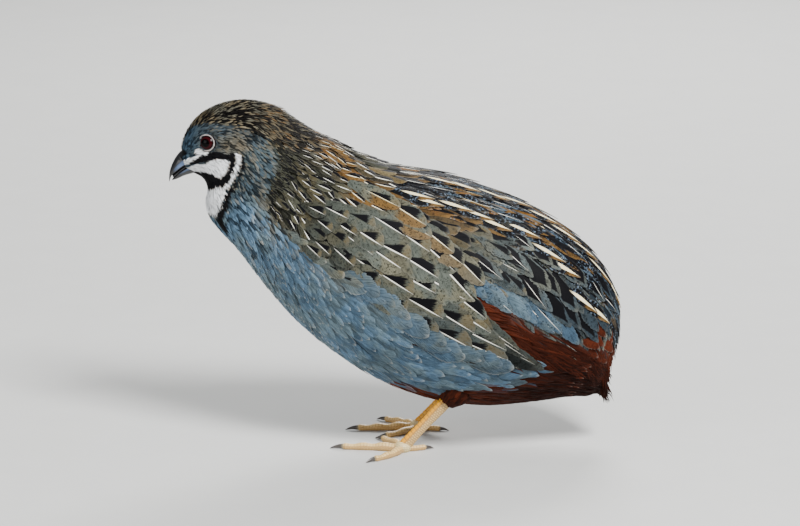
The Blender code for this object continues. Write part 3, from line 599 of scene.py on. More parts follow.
def side_feathers(tips, heading, length, shares, root_lift, tip_lift):
    """Left-side feathers whose tips and headings are set in the side view."""
    forward = np.column_stack([np.cos(heading), -np.sin(heading)])
    shares = np.array(shares)
    places = tips[:, None] - forward[:, None] * (length[:, None] * (1 - shares))[..., None]
    count, stations = places.shape[:2]
    u, angle = BODY.from_side(places.reshape(-1, 2))
    point, normal, _ = BODY.frame(u, angle)
    point, normal = point.reshape(count, stations, 3), normal.reshape(count, stations, 3)
    lift = root_lift[:, None] + (tip_lift - root_lift)[:, None] * shares**0.75
    centres = point + normal * lift[..., None]
    ahead = np.gradient(centres, axis=1)
    root = np.array([u.reshape(count, stations)[:, 0], angle.reshape(count, stations)[:, 0]])
    return Feathers(centres, normal, ahead, root)


# Rings round a vane: places across it, and the share of the thickness at each. The last is the keel.
# The patch is how much of the bake map one vane takes.
BAKE_PATCH = 0.0015
SHARP_ANGLE = math.radians(70)
SLIM = (np.array([-1.0, 0.0, 1.0, 0.0]), np.array([0.0, 1.0, 0.0, -0.35]))
BROAD = (np.array([-1.0, -0.5, 0.0, 0.5, 1.0, 0.0]), np.array([0.0, 0.72, 1.0, 0.72, 0.0, -0.35]))
WIDE = (
    np.array([-1.0, -0.75, -0.4, 0.0, 0.4, 0.75, 1.0, 0.0]),
    np.array([0.0, 0.5, 0.85, 1.0, 0.85, 0.5, 0.0, -0.35]),
)


class Coat:
    """Feathers gathered into one joined mesh, with the values that their material reads."""

    def __init__(self, name):
        self.name = name
        self.parts = []

    def add(self, feathers, shares, half_width, thickness, camber, tint, marks, finish, kind, fray=None):
        """Adds closed vanes. A fray (generator, amount) parts their edges, as barbs do.

        Tint, marks and finish hold a row for each feather, or for each of its points.
        """
        across, bulge = kind
        ring = len(across)
        count, stations = feathers.centres.shape[:2]
        stations -= 1
        side = np.cross(feathers.normals, feathers.ahead)
        half = np.repeat(half_width[:, :stations, None], ring, axis=2)
        if fray:
            rng, amount = fray
            edges = np.abs(across) > 0.9
            torn = np.abs(rng.normal(0.0, amount, half.shape)) * edges
            half = half * (1 - np.minimum(torn, 0.5))
        drop = camber * half * across**2
        rise = np.broadcast_to(thickness, count)[:, None, None] * bulge - drop
        swept = 0.45 * half * np.abs(across) * (1 - np.array(shares[:stations])[None, :, None] ** 3)
        points = (
            feathers.centres[:, :stations, None]
            + side[:, :stations, None] * (half * across)[..., None]
            + feathers.ahead[:, :stations, None] * swept[..., None]
            + feathers.normals[:, :stations, None] * rise[..., None]
        ).reshape(count, stations * ring, 3)
        points = np.concatenate([points, feathers.centres[:, -1:]], axis=1)

        last, tip = (stations - 1) * ring, stations * ring
        root_end = [(0, j + 1, j) for j in range(1, ring - 1)]
        tip_end = [(last + j, last + (j + 1) % ring, tip) for j in range(ring)]
        faces = np.concatenate([ring_faces(stations, ring), root_end, tip_end])

        along = np.append(np.repeat(np.array(shares[:stations]), ring), 1.0)
        sideways = np.append(np.tile(across, stations), 0.0)
        vane = np.empty((count, len(along), 2))
        vane[..., 0] = 0.5 + 0.5 * sideways * feathers.on_left[:, None]
        vane[..., 1] = along
        bake = np.empty_like(vane)
        root = np.clip(feathers.root / np.array([[BODY.last], [TURN]]), 0.01, 0.985)
        bake[..., 0] = root[0][:, None] + BAKE_PATCH * 2 * along
        bake[..., 1] = root[1][:, None] + BAKE_PATCH * (1 + sideways)
        self.parts.append((points, faces, {"Vane": vane, "OFBake": bake}, tint, marks, finish))

    def build(self, material):
        """The joined mesh object."""
        points, faces = [], []
        layers = {name: [] for name in ("tint", "marks", "finish")}
        start = 0
        for places, triangles, _, *looks in self.parts:
            count, size = places.shape[:2]
            points.append(places.reshape(-1, 3))
            offsets = start + size * np.arange(count)
            faces.append((triangles[None] + offsets[:, None, None]).reshape(-1, 3))
            for rows, values in zip(layers.values(), looks):
                if values.ndim == 2:
                    values = np.repeat(values[:, None], size, axis=1)
                if values.shape[-1] == 3:
                    values = opaque(values)
                rows.append(values.reshape(-1, 4))
            start += count * size
        made = mesh_object(self.name, to_world(np.concatenate(points)), np.concatenate(faces), material)
        made.data.set_sharp_from_angle(angle=SHARP_ANGLE)
        for name, rows in layers.items():
            paint(made, name, np.concatenate(rows))
        for name in ("OFBake", "Vane"):
            unwrap(made, name, np.concatenate([part[2][name].reshape(-1, 2) for part in self.parts]))
        return made


def mesh_object(name, points, faces, material=None, smooth=True):
    """A mesh object from arrays of points and of triangles, or lists of faces."""
    mesh = bpy.data.meshes.new(name)
    if isinstance(faces, np.ndarray):
        mesh.vertices.add(len(points))
        mesh.vertices.foreach_set("co", np.asarray(points, np.float32).ravel())
        mesh.loops.add(faces.size)
        mesh.loops.foreach_set("vertex_index", faces.astype(np.int32).ravel())
        mesh.polygons.add(len(faces))
        mesh.polygons.foreach_set("loop_start", np.arange(0, faces.size, 3, dtype=np.int32))
        mesh.update(calc_edges=True)
    else:
        mesh.from_pydata([tuple(map(float, p)) for p in points], [], faces)
    if smooth:
        mesh.shade_smooth()
    made = bpy.data.objects.new(name, mesh)
    bpy.context.scene.collection.objects.link(made)
    if material:
        mesh.materials.append(material)
    return made


def opaque(colours):
    """Colours with an alpha of 1."""
    return np.concatenate([colours, np.ones((*colours.shape[:-1], 1))], axis=-1)


def paint(made, name, colours):
    """Stores a colour for each vertex under a name."""
    layer = made.data.attributes.new(name, "FLOAT_COLOR", "POINT")
    layer.data.foreach_set("color", np.asarray(colours, np.float32).ravel())


def unwrap(made, name, values):
    """Adds a UV map from one place for each vertex."""
    layer = made.data.uv_layers.new(name=name)
    corners = np.empty(len(made.data.loops), np.int32)
    made.data.loops.foreach_get("vertex_index", corners)
    layer.data.foreach_set("uv", np.asarray(values, np.float32)[corners].ravel())


def place(made, slot, *replaced):
    """Rides a finished piece on the bird and hides the solids that it stands for; the slot argument is not
    used.
    """
    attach(made, "root")
    if replaced:
        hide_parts(*replaced)
    return made


class Value:
    """A number socket of a shader tree. Arithmetic on it adds Math nodes."""

    def __init__(self, recipe, socket):
        self.recipe = recipe
        self.socket = socket

    def math(self, operation, *others):
        """The number that a Math node makes of this one and others."""
        inputs = dict(enumerate((self, *others)))
        node = self.recipe.node("ShaderNodeMath", {"operation": operation}, inputs)
        return Value(self.recipe, node.outputs[0])

    def __add__(self, other):
        return self.math("ADD", other)

    __radd__ = __add__

    def __mul__(self, other):
        return self.math("MULTIPLY", other)

    __rmul__ = __mul__

    def __sub__(self, other):
        return self.math("SUBTRACT", other)

    def __rsub__(self, other):
        return (self * -1.0).math("ADD", other)

    def __abs__(self):
        return self.math("ABSOLUTE")

    def least(self, other):
        return self.math("MINIMUM", other)

    def most(self, other):
        return self.math("MAXIMUM", other)

    def smooth(self, low, high):
        """0 under low and 1 over high, with a smooth rise between; low may be the higher one."""
        inputs = {"Value": self, "From Min": low, "From Max": high}
        found = self.recipe.node("ShaderNodeMapRange", {"interpolation_type": "SMOOTHSTEP"}, inputs)
        return Value(self.recipe, found.outputs["Result"])


class Recipe:
    """A material and its shader tree, made node by node."""

    def __init__(self, name, **constants):
        self.material = bpy.data.materials.new(name)
        self.material.use_nodes = True
        self.tree = self.material.node_tree
        self.shader = self.tree.nodes["Principled BSDF"]
        for socket, value in constants.items():
            self.shader.inputs[socket.replace("_", " ").title().replace("Ior", "IOR")].default_value = value

    def node(self, kind, settings=None, inputs=None):
        """A node with its settings made first, then its sockets' values or links."""
        made = self.tree.nodes.new(kind)
        for name, value in (settings or {}).items():
            setattr(made, name, value)
        for name, value in (inputs or {}).items():
            socket = made.inputs[name]
            if isinstance(value, Value):
                self.tree.links.new(value.socket, socket)
            elif isinstance(value, bpy.types.NodeSocket):
                self.tree.links.new(value, socket)
            elif isinstance(value, np.ndarray) and len(value) == 3 and socket.type == "RGBA":
                socket.default_value = (*value, 1.0)
            else:
                socket.default_value = value
        return made

    def value(self, socket):
        """A socket as a number to reckon with."""
        return Value(self, socket)

    def attribute(self, name):
        """The sockets of a colour stored with the mesh."""
        return self.node("ShaderNodeAttribute", {"attribute_name": name}).outputs

    def channels(self, colour):
        """The red, green and blue of a colour, as numbers."""
        found = self.node("ShaderNodeSeparateColor", None, {0: colour}).outputs
        return tuple(self.value(found[k]) for k in range(3))

    def places(self):
        """Places in the piece's own frame, in metres."""
        return self.node("ShaderNodeTexCoord").outputs["Object"]

    def noise(self, vector, scale, detail, roughness):
        """Smooth noise from about 0 to 1."""
        inputs = {"Vector": vector, "Scale": scale, "Detail": detail, "Roughness": roughness}
        return self.value(self.node("ShaderNodeTexNoise", None, inputs).outputs["Fac"])

    def mix(self, share, first, second, kind="MIX"):
        """A colour between two colours."""
        settings = {"data_type": "RGBA", "blend_type": kind}
        return self.node("ShaderNodeMix", settings, {0: share, 6: first, 7: second}).outputs[2]

    def scaled(self, colour, amount):
        """A colour made lighter or darker by a number."""
        grey = self.node("ShaderNodeCombineColor", None, {0: amount, 1: amount, 2: amount}).outputs[0]
        return self.mix(1.0, colour, grey, "MULTIPLY")

    def link(self, name, value):
        """Feeds one of the surface's inputs."""
        socket = value.socket if isinstance(value, Value) else value
        self.tree.links.new(socket, self.shader.inputs[name])

    def bump(self, height, distance, strength):
        """Raises the surface by a height, as a share of a distance in metres."""
        inputs = {"Height": height, "Distance": distance, "Strength": strength}
        self.link("Normal", self.node("ShaderNodeBump", None, inputs).outputs["Normal"])


def plumage_material(name, roughness, spot_start=0.30, spot_rate=1.9, stain=0.3, web_start=0.42):
    """Feathers, from their attributes: marks holds the widths of the shaft line, the blotch, the pepper
    and the warm web, and finish the rim, the barbs, a seed and the black middle.
    """
    r = Recipe(name, specular_ior_level=0.06)
    tint = r.attribute("tint")["Color"]
    marks = r.attribute("marks")
    finish = r.attribute("finish")
    shaft_width, blotch, pepper = r.channels(marks["Color"])
    warm = r.value(marks["Alpha"])
    rim, barbs, seed = r.channels(finish["Color"])
    middle = r.value(finish["Alpha"])
    vane = r.node("ShaderNodeUVMap", {"uv_map": "Vane"}).outputs[0]
    parts = r.node("ShaderNodeSeparateXYZ", None, {0: vane})
    across = r.value(parts.outputs[0]) * 2.0 - 1.0
    along = r.value(parts.outputs[1])
    out = abs(across)
    places = r.places()

    slant = along - out * 0.34
    barb_place = r.node("ShaderNodeCombineXYZ", None, {0: across * 1.2, 1: slant * 26.0, 2: seed * 40.0})
    barb = r.noise(barb_place.outputs[0], 1.0, 4.0, 0.7)
    ragged = (barb - 0.5) * 2.0
    fine = r.noise(places, 1700.0, 3.0, 0.6)
    patchy = r.noise(places, 420.0, 2.0, 0.5)

    # Brown clouds, on neither the whites nor the blacks.
    cloud = r.noise(places, 160.0, 3.0, 0.6)
    brown = r.mix(1.0, tint, STAIN, "MULTIPLY")
    _, green, _ = r.channels(tint)
    stained = (cloud + ragged * 0.15).smooth(0.42, 0.60) * green.smooth(0.5, 0.25)
    colour = r.mix(stained * green.smooth(0.015, 0.05) * stain, tint, brown)
    colour = r.scaled(colour, ragged * barbs * 2.4 + (patchy - 0.5) * 0.9 + 1.0)
    # The warm web is one half of the vane.
    web = (across + ragged * 0.12).smooth(-0.02, -0.12) * warm
    web = web * (along + ragged * 0.2).smooth(web_start, web_start + 0.1)
    colour = r.mix(web, colour, r.scaled(OCHRE, ragged * 0.9 + (patchy - 0.5) * 0.8 + 1.0))
    specks = fine.smooth(0.54, 0.60) * pepper
    colour = r.mix(specks, colour, r.scaled(colour, 0.24))
    # The blotch is a black wedge on the other half, with buff beyond it.
    grown = (along - (seed * 0.12 + spot_start)) * spot_rate
    half = across.smooth(0.0, 0.05)
    spot = half * ((grown * 1.15 + 0.10) * blotch - across + ragged * 0.35).smooth(0.0, 0.08)
    spot = spot * grown.smooth(0.0, 0.12) * (blotch - grown - across * 0.25 + ragged * 0.35).smooth(0.0, 0.10)
    spot = spot * blotch.smooth(0.05, 0.25)
    beyond = half * (grown - blotch + ragged * 0.3).smooth(-0.15, 0.0) * blotch.smooth(0.5, 0.8)
    colour = r.mix(beyond * (along + ragged * 0.3).smooth(1.05, 0.85) * 0.46, colour, BUFF)
    colour = r.mix(spot, colour, BACK_BLACK)
    # The black middle is a wedge on both halves.
    centre_edge = (0.92 - along) * 2.2
    centre = (across * (warm * -0.8 + 1.0) + ragged * 0.25 - centre_edge.least(0.80)).smooth(0.08, -0.06)
    centre = centre * (across * -1.0 - centre_edge.least(0.80)).smooth(0.08, -0.06) * middle.smooth(0.0, 0.5)
    centre = centre * (1.0 - web)
    colour = r.mix(centre, colour, BACK_BLACK)
    flecks = fine.smooth(0.46, 0.39) * middle.smooth(0.7, 1.0) * (patchy + ragged * 0.2).smooth(0.42, 0.56)
    colour = r.mix(flecks * (1.0 - web) * 0.6, colour, FLECK_BLUE)
    # Pale rims at the vane's edges: pale fringes, and on the breast painted highlights.
    edge = (out.most((along - 0.42) * 1.72) + ragged * 0.2).smooth(0.80, 0.98) * rim
    colour = r.mix(edge, colour, r.mix(0.6, colour, SHAFT_WHITE))
    taper = along.smooth(0.22, 0.62) * along.smooth(1.0, 0.76)
    shaft = (out - shaft_width * (taper * 0.9 + 0.1)).smooth(0.025, -0.015) * shaft_width.smooth(0.005, 0.02)
    shaft = shaft * along.smooth(0.30, 0.45)
    colour = r.mix(shaft, colour, r.mix(warm, SHAFT_WHITE, CREAM))
    # Darker towards the root: partly the feather's darker base, partly painted shade under the feathers that
    # lie over it.
    colour = r.scaled(colour, along.smooth(0.1, 0.6) * 0.25 + 0.75)
    r.link("Base Color", colour)
    r.link("Roughness", ragged * 0.3 + roughness)
    r.bump(barb * barbs * 0.7 + shaft * 0.5, 0.0001, 0.6)
    return r.material


def skin_material():
    """The skin between the feathers: their colours, darker, with a downy grain."""
    r = Recipe("quail_skin", roughness=0.85, specular_ior_level=0.15)
    grain = r.noise(r.places(), 1800.0, 3.0, 0.6)
    r.link("Base Color", r.scaled(r.attribute("tint")["Color"], grain * 0.8 + 0.3))
    r.bump(grain, 0.0002, 0.6)
    return r.material


class QuailSizes(bpy.types.PropertyGroup):
    """Sizes that change how the plumage lies."""

    spacing: bpy.props.FloatProperty(
        name="Feather spacing",
        description="Scales the distance between the feathers' roots",
        default=1.0,
        min=0.6,
        max=2.0,
    )
    tip_lift: bpy.props.FloatProperty(
        name="Tip lift",
        description="How far the feathers' tips stand off the body, as a share of the real bird's",
        default=1.0,
        min=0.0,
        max=3.0,
    )
    seed: bpy.props.IntProperty(
        name="Seed",
        description="Picks one scatter of the feathers",
        default=7,
        min=0,
    )


class QuailStudio(bpy.types.PropertyGroup):
    """The studio's camera and light."""

    distance: bpy.props.FloatProperty(
        name="Camera distance",
        description="From the camera to the bird",
        default=1.06,
        unit="LENGTH",
    )
    elevation: bpy.props.FloatProperty(
        name="Camera elevation",
        description="How far the camera looks down",
        default=math.radians(13.5),
        subtype="ANGLE",
    )
    key_power: bpy.props.FloatProperty(
        name="Key light",
        description="Power of the main light",
        default=19.5,
        unit="POWER",
    )
    floor_colour: bpy.props.FloatVectorProperty(
        name="Floor",
        description="Colour of the studio floor",
        default=(0.62, 0.62, 0.60),
        subtype="COLOR",
        size=3,
    )


# The scatter tries this many places for each feather, and finds its neighbours in boxes of this size.
TRIES = 8.0
BOX = 0.7


def crowded(taken, point, box, radius):
    """Whether a point is nearer than the radius to one that was taken before."""
    x, y, z = point
    span = int(math.ceil(radius / BOX))
    around = range(-span, span + 1)
    for i in around:
        for j in around:
            for k in around:
                for px, py, pz in taken.get((box[0] + i, box[1] + j, box[2] + k), ()):
                    if (px - x) ** 2 + (py - y) ** 2 + (pz - z) ** 2 < radius * radius:
                        return True
    return False


def scatter(seed):
    """Places (u, angle) spread evenly over the body, no closer together than the body's spacing."""
    rng = np.random.default_rng(seed)
    u_edges = np.linspace(0.12, BODY.last - 0.45, 261)
    angle_edges = np.linspace(0.0, TURN, 181)
    cell_u, cell_angle = pairs((u_edges[1:] + u_edges[:-1]) / 2, (angle_edges[1:] + angle_edges[:-1]) / 2)
    along, round_it = BODY.slopes(cell_u, cell_angle)
    area = np.linalg.norm(np.cross(along, round_it), axis=1) * (u_edges[1] - u_edges[0]) * angle_edges[1]
    wanted = area / np.maximum(body_spacing(cell_u, head_angle(cell_angle)), 0.1) ** 2
    total = int(wanted.sum() * TRIES)
    chosen = rng.choice(len(cell_u), total, p=wanted / wanted.sum())
    u = cell_u[chosen] + (rng.random(total) - 0.5) * (u_edges[1] - u_edges[0])
    angle = cell_angle[chosen] + (rng.random(total) - 0.5) * angle_edges[1]
    reach = body_spacing(u, head_angle(angle)).tolist()
    points = BODY.points(u, angle)
    boxes = np.floor(points / BOX).astype(int).tolist()
    taken, kept = {}, []
    for k, point in enumerate(points.tolist()):
        if not crowded(taken, point, boxes[k], reach[k]):
            taken.setdefault(tuple(boxes[k]), []).append(point)
            kept.append(k)
    return u[kept], np.mod(angle[kept], TURN)


def eye_place():
    """The left eye's centre, the way it looks, and the ways round it: ahead and over."""
    u, angle = BODY.from_side([EYE_AT])
    point, normal, _ = BODY.frame(u, angle)
    look = unit(normal[0] + np.array([-math.sin(EYE_FORWARD), 0.0, 0.0]))
    over = unit(np.array([0.0, 0.0, 1.0]) - look * look[2])
    return point[0] - look * EYE_SUNK, look, np.cross(over, look), over


# Rows of (station, spacing, length, half width): how the body's feathers grow from face to tail. Then
# the shares of a feather's length at which a small, a body and a large feather have their rings.
GROWTH = (
    (0.0, 0.36, 1.3, 0.21), (3.0, 0.40, 1.6, 0.23), (5.5, 0.44, 1.8, 0.26), (7.5, 0.56, 2.6, 0.37),
    (9.5, 0.80, 4.4, 0.58), (11.5, 1.20, 7.0, 1.15), (14.0, 2.00, 10.5, 2.10), (17.0, 1.70, 10.0, 1.50),
    (18.5, 1.40, 6.5, 1.10), (20.0, 1.20, 5.0, 0.90),
)
HEAD_SHARES = (0.0, 0.35, 0.75, 1.0)
BODY_SHARES = (0.0, 0.25, 0.42, 0.55, 0.66, 0.76, 0.85, 0.93, 1.0)
VANE_SHARES = (*np.round(np.append(np.linspace(0.0, 0.4, 4)[:-1], np.linspace(0.4, 0.985, 22)), 3), 1.0)
# The most that the roots of two neighbours lie apart, before the panel's spacing.
WIDEST_SPACING = 2.6


def on_mantle(u, down):
    """The olive upper back and the sides of the neck, whose feathers are broad."""
    begins = 7.2 - 0.5 * smooth_step(60.0, 40.0, down)
    olive = smooth_step(-3, 3, read_off(OLIVE_EDGE, u) - down)
    return olive * smooth_step(0.0, 1.8, u - begins) * smooth_step(13.8, 13.0, u)


def on_spine(u, down):
    """The back on either side of the spine, behind the shoulders."""
    return smooth_step(50, 34, down) * smooth_step(10.5, 12.0, u)


def body_spacing(u, down):
    """The distance between feathers' roots: wide on the mantle, close on the chestnut belly."""
    spread = 1 + 1.15 * on_mantle(u, down) * (1 - on_spine(u, down))
    spacing = np.minimum(read_off(GROWTH, u, 1) * spread, WIDEST_SPACING)
    spacing = np.where((u > 13.5) & (rufous(u + 0.6, down) > 0.5), spacing * 0.62, spacing)
    return spacing * bpy.context.scene.quail_sizes.spacing


def near_eye(points, radius):
    """Which points lie within a radius of either eye's centre."""
    centre = eye_place()[0]
    gap = points * np.array([1.0, 0.0, 1.0]) + np.abs(points) * np.array([0.0, -1.0, 0.0]) - centre
    return np.linalg.norm(gap, axis=1) < radius


def vane_profile(shares, pointed):
    """Half width at each share of the length. Pointed goes from 0, round, to 1, lance shaped."""
    shares = np.array(shares[:-1])[None]
    fill = 0.45 + 0.55 * smooth_step(0.0, 0.5, shares)
    peak = 0.68 - 0.25 * pointed[:, None]
    past = np.clip((shares - peak) / (1.0 - peak), 0, 1)
    round_tip = np.sqrt(np.clip(1 - past**2.2, 0, 1))
    sharp_tip = 1 - past**1.15
    return fill * (round_tip + (sharp_tip - round_tip) * pointed[:, None])


# The stations at which the head's, the neck's and the breast's coats end, and the angle down from the
# top that parts the back's coat from the belly's.
HEAD_END, NECK_END, BREAST_END = 6.0, 8.6, 13.4
BACK_END = 75
# Clear skin round the eyeball.
EYE_MARGIN = 0.45


def body_groups(u, angle, mantle):
    """Which feathers belong to each coat."""
    groups = {"head_coat": u < HEAD_END, "neck_coat": (u >= HEAD_END) & (u < NECK_END)}
    on_left = np.sin(angle) >= 0
    fore, hind, high = (u >= NECK_END) & (u < BREAST_END), u >= BREAST_END, head_angle(angle) < BACK_END
    for side, here in (("left", on_left), ("right", ~on_left)):
        groups[f"breast_coat_{side}"] = here & fore & (mantle < 0.5)
        groups[f"mantle_coat_{side}"] = here & fore & (mantle >= 0.5)
        groups[f"back_coat_{side}"] = here & hind & high
        groups[f"belly_coat_{side}"] = here & hind & ~high
    return groups


def body_feathers():
    """Every feather of the head and body, sorted into coats, each with its colours and markings."""
    sizes = bpy.context.scene.quail_sizes
    rng = np.random.default_rng(sizes.seed)
    u, angle = scatter(sizes.seed)
    points = BODY.points(u, angle)
    bill = (u < 1.6) & (np.abs(points[:, 1]) < 2.3) & (points[:, 2] < 81.2) & (points[:, 0] < -53.6)
    keep = ~near_eye(points, EYE_RADIUS + EYE_MARGIN) & ~bill
    u, angle = u[keep], angle[keep]
    down = head_angle(angle)
    count = len(u)
    mantle = on_mantle(u, down)
    on_back = on_spine(u, down)
    on_crown = smooth_step(-4, 4, read_off(CROWN_EDGE, u) - down) * smooth_step(8.0, 7.0, u)
    on_belly = rufous(u + 0.5, down)
    rear = smooth_step(14.0, 15.5, u) * smooth_step(30, 48, down) * smooth_step(110, 96, down)
    length = read_off(GROWTH, u, 2) * rng.normal(1.12, 0.12, count)
    length *= 1 + 0.15 * on_crown + 0.3 * on_back + 0.1 * rear + 0.25 * mantle
    length *= (1 + 0.25 * on_belly) * (1 - 0.65 * smooth_step(18.2, 19.3, u))
    half = read_off(GROWTH, u, 3) * rng.normal(0.92, 0.12, count)
    half *= 1 + 1.1 * mantle * (1 - on_back) - 0.62 * on_belly
    pointed = 0.3 + 0.5 * on_crown + 0.4 * on_back + 0.6 * on_belly + 0.25 * rear - 0.1 * mantle
    pointed = np.clip(pointed, 0, 1)
    on_breast = smooth_step(60, 90, down) * smooth_step(7.5, 9.5, u) * smooth_step(13.5, 12.0, u)
    yaw = rng.normal(0.0, 0.13, count) + math.radians(24) * rear + math.radians(10) * on_breast
    yaw += rng.normal(0.0, 0.09, count) * on_belly
    tiered = smooth_step(14.0, 14.8, u) * smooth_step(40, 48, down) * smooth_step(92, 84, down)
    root_lift = -0.55 * read_off(SKIN_DEPTH, u) - 0.06
    grown = smooth_step(6, 10, u)
    tip_lift = (0.05 + 0.05 * grown + 0.34 * on_crown + 0.08 * rear + 0.15 * on_back) * sizes.tip_lift
    tip_lift = tip_lift + rng.normal(0.0, 0.04, count) * (0.4 + grown)
    tip_lift = tip_lift * (1 - tiered) - 0.25 * tiered
    tip_lift += 0.9 * np.exp(-(((u - 6.2) / 0.35) ** 2)) * smooth_step(24, 8, down) * rng.random(count)
    roll = rng.normal(0.0, 0.06, count)

    coats = []
    for name, rows in body_groups(u, angle, mantle).items():
        small = name in ("head_coat", "neck_coat")
        shares, kind, fray = (HEAD_SHARES, SLIM, 0.05) if small else (BODY_SHARES, BROAD, 0.12)
        way = (u[rows], angle[rows], length[rows], yaw[rows])
        feathers = trace(*way, shares, root_lift[rows], tip_lift[rows])
        feathers.rolled(roll[rows])
        widths = half[rows, None] * vane_profile(shares, pointed[rows])
        thickness = 0.045 + 0.02 * smooth_step(8, 12, u[rows])
        looks = body_markings(feathers, shares, u[rows], angle[rows], rng, small)
        coats.append(Coat(name))
        coats[-1].add(feathers, shares, widths, thickness, 0.16, *looks, kind, (rng, fray))
    return coats


# The share of a feather's length that shows most, and the last station that markings are read at.
SEEN_SHARE = 0.72
LAST_SEEN = 19.9


def body_markings(feathers, shares, u, angle, rng, fine):
    """Tint, marks (shaft, blotch, pepper, warm web) and finish (rim, barbs, seed, black middle)."""
    count = len(u)
    seen = feathers.centres[:, int(np.argmin(np.abs(np.array(shares) - SEEN_SHARE)))]
    shift = np.linalg.norm(seen - feathers.centres[:, 0], axis=1)
    along, _ = BODY.slopes(np.clip(u, 0.05, LAST_SEEN), angle)
    seen_u = np.clip(u + shift / np.maximum(np.linalg.norm(along, axis=1), 0.5), 0, LAST_SEEN)
    down = head_angle(angle)
    state = rng.bit_generator.state
    tint = coat_colours(seen_u, angle, seen, rng)
    if fine:
        # Fine feathers take the colour of each point, with the same draws for each.
        rows = []
        for k in range(len(shares)):
            rng.bit_generator.state = state
            rows.append(coat_colours(seen_u, angle, feathers.centres[:, k], rng))
        rings = np.repeat(np.stack(rows[:-1], axis=1), len(SLIM[0]), axis=1)
        tint = np.concatenate([rings, rows[-1][:, None]], axis=1)
    inside_olive = read_off(OLIVE_EDGE, seen_u) - down
    olive = smooth_step(-6.0, 6.0, inside_olive) * smooth_step(6.6, 8.0, seen_u)
    mantle = olive * smooth_step(14.6, 13.4, seen_u)
    back = smooth_step(11.6, 12.9, seen_u) * smooth_step(48, 34, down - 12 * smooth_step(14, 16.5, seen_u))
    rear = smooth_step(13.8, 15.0, seen_u) * smooth_step(38, 48, down) * smooth_step(104, 94, down)
    belly = rufous(seen_u, down)
    breast = smooth_step(9.0, 11.0, seen_u) * smooth_step(-6, 6, -inside_olive) * (1 - belly)
    pick, pick2, seed = rng.random(count), rng.random(count), rng.random(count)
    start = 8.0 + 0.8 * smooth_step(42.0, 66.0, down)
    shown = mantle * smooth_step(0.0, 0.8, seen_u - start)
    shown = shown * smooth_step(12.8, 12.2, seen_u) * smooth_step(2.0, 8.0, inside_olive)
    spine = back * smooth_step(17.0, 16.4, seen_u) * smooth_step(52, 44, down)
    shaft = (0.058 + 0.017 * smooth_step(9.4, 10.6, seen_u)) * shown * (pick < 0.75) * (1 - back)
    shaft = shaft + 0.05 * spine * (pick > 0.8) + 0.02 * rear * (pick < 0.1)
    blotch = np.clip(1.6 * mantle * (pick2 < 0.92) + 1.0 * rear * (pick2 < 0.5), 0, 1.6)
    spotted = breast * smooth_step(10.0, 11.0, seen_u) * smooth_step(130, 120, down)
    blotch = np.maximum(blotch, 0.45 * spotted * (pick2 < 0.08))
    pepper = np.clip(0.6 * olive + 0.6 * rear + 0.8 * back * (pick2 > 0.5), 0, 1)
    ochre = np.exp(-(((down - read_off(OCHRE_ROW, seen_u)) / 9.0) ** 2)) * shown
    ochre = ochre * smooth_step(8.0, 9.0, seen_u)
    warm = np.clip(0.9 * back * (pick2 < 0.16) * smooth_step(17.2, 16.2, seen_u) + 0.9 * ochre, 0, 1)
    # Pale rims: on the mantle and behind the wing they are pale fringes; on the breast, and most of all along
    # its front edge, they are painted highlights.
    rim = 0.3 * breast * (pick < 0.35) + 0.1 * rear + 0.08 * mantle + 0.02
    rim = rim + 0.6 * breast * (pick > 0.45) * smooth_step(128, 156, down) * smooth_step(13.4, 12.4, seen_u)
    rim = np.clip(rim, 0, 1) * smooth_step(6.0, 7.6, seen_u) * (1 - belly)
    barbs = 0.35 + 0.35 * breast + 0.5 * belly
    middle = np.clip(back * (pick > 0.2), 0, 1) * (1 - belly)
    marks = columns(count, shaft, blotch, pepper, warm) * (1 - belly)[:, None]
    return tint, marks, columns(count, rim, barbs, seed, middle)


# Each tier: its line of tips (upper end, lower end) in the side view, the count, the feather's
# length and half width, and the way its first and last feathers point, in degrees below level.
WING_TIERS = (
    ("outer_primaries", (37.5, 25.8), (25.0, 28.4), 4, 22.0, 2.5, 27.0, 22.0),
    ("primaries", (27.0, 37.0), (39.0, 25.9), 6, 27.0, 2.5, 46.0, 30.0),
    ("secondaries", (21.5, 45.5), (29.5, 29.4), 5, 21.0, 3.9, 45.0, 28.0),
    ("tertials", (16.5, 52.5), (20.5, 32.8), 5, 17.5, 4.1, 38.0, 29.0),
    ("greater_coverts", (10.5, 57.5), (12.0, 37.2), 5, 16.0, 4.2, 32.0, 30.0),
    ("median_coverts", (3.0, 61.8), (3.4, 44.0), 5, 14.5, 3.9, 29.0, 33.0),
    ("lesser_coverts", (-4.5, 64.5), (-4.6, 49.6), 5, 12.5, 3.4, 26.0, 36.0),
    ("small_coverts", (-11.0, 66.0), (-11.6, 53.2), 5, 10.0, 2.7, 26.0, 39.0),
    ("marginal_coverts", (-16.5, 66.4), (-18.0, 55.5), 5, 8.0, 2.1, 28.0, 42.0),
    ("scapulars", (3.0, 68.5), (22.5, 51.0), 6, 15.5, 3.0, 26.0, 42.0),
)
# The long feathers behind the wing, set out as the wing's tiers are.
REAR_TIERS = (
    ("rear_low", (24.5, 46.5), (47.5, 33.5), 8, 16.0, 2.2, 38.0, 52.0),
    ("rear_middle", (28.0, 51.0), (52.5, 33.0), 8, 15.0, 2.2, 38.0, 62.0),
    ("rear_high", (31.0, 55.5), (56.0, 34.5), 9, 13.0, 2.1, 38.0, 68.0),
    ("rear_top", (37.0, 57.0), (57.5, 41.0), 7, 10.0, 1.9, 38.0, 66.0),
)
# The slate flank feathers that lie over the wing's front and lower edge: their tips run along it.
FLANK_LINE = (
    (-21.5, 58.5), (-15.0, 53.6), (-9.0, 50.3), (-2.0, 46.6), (5.0, 40.8), (12.0, 35.2), (19.0, 31.0),
    (26.0, 28.6), (32.0, 27.2),
)
# Rows of (count, how far back the tips lie, length).
FLANK_ROWS = ((13, 0.5, 14.0), (13, -4.0, 13.0))


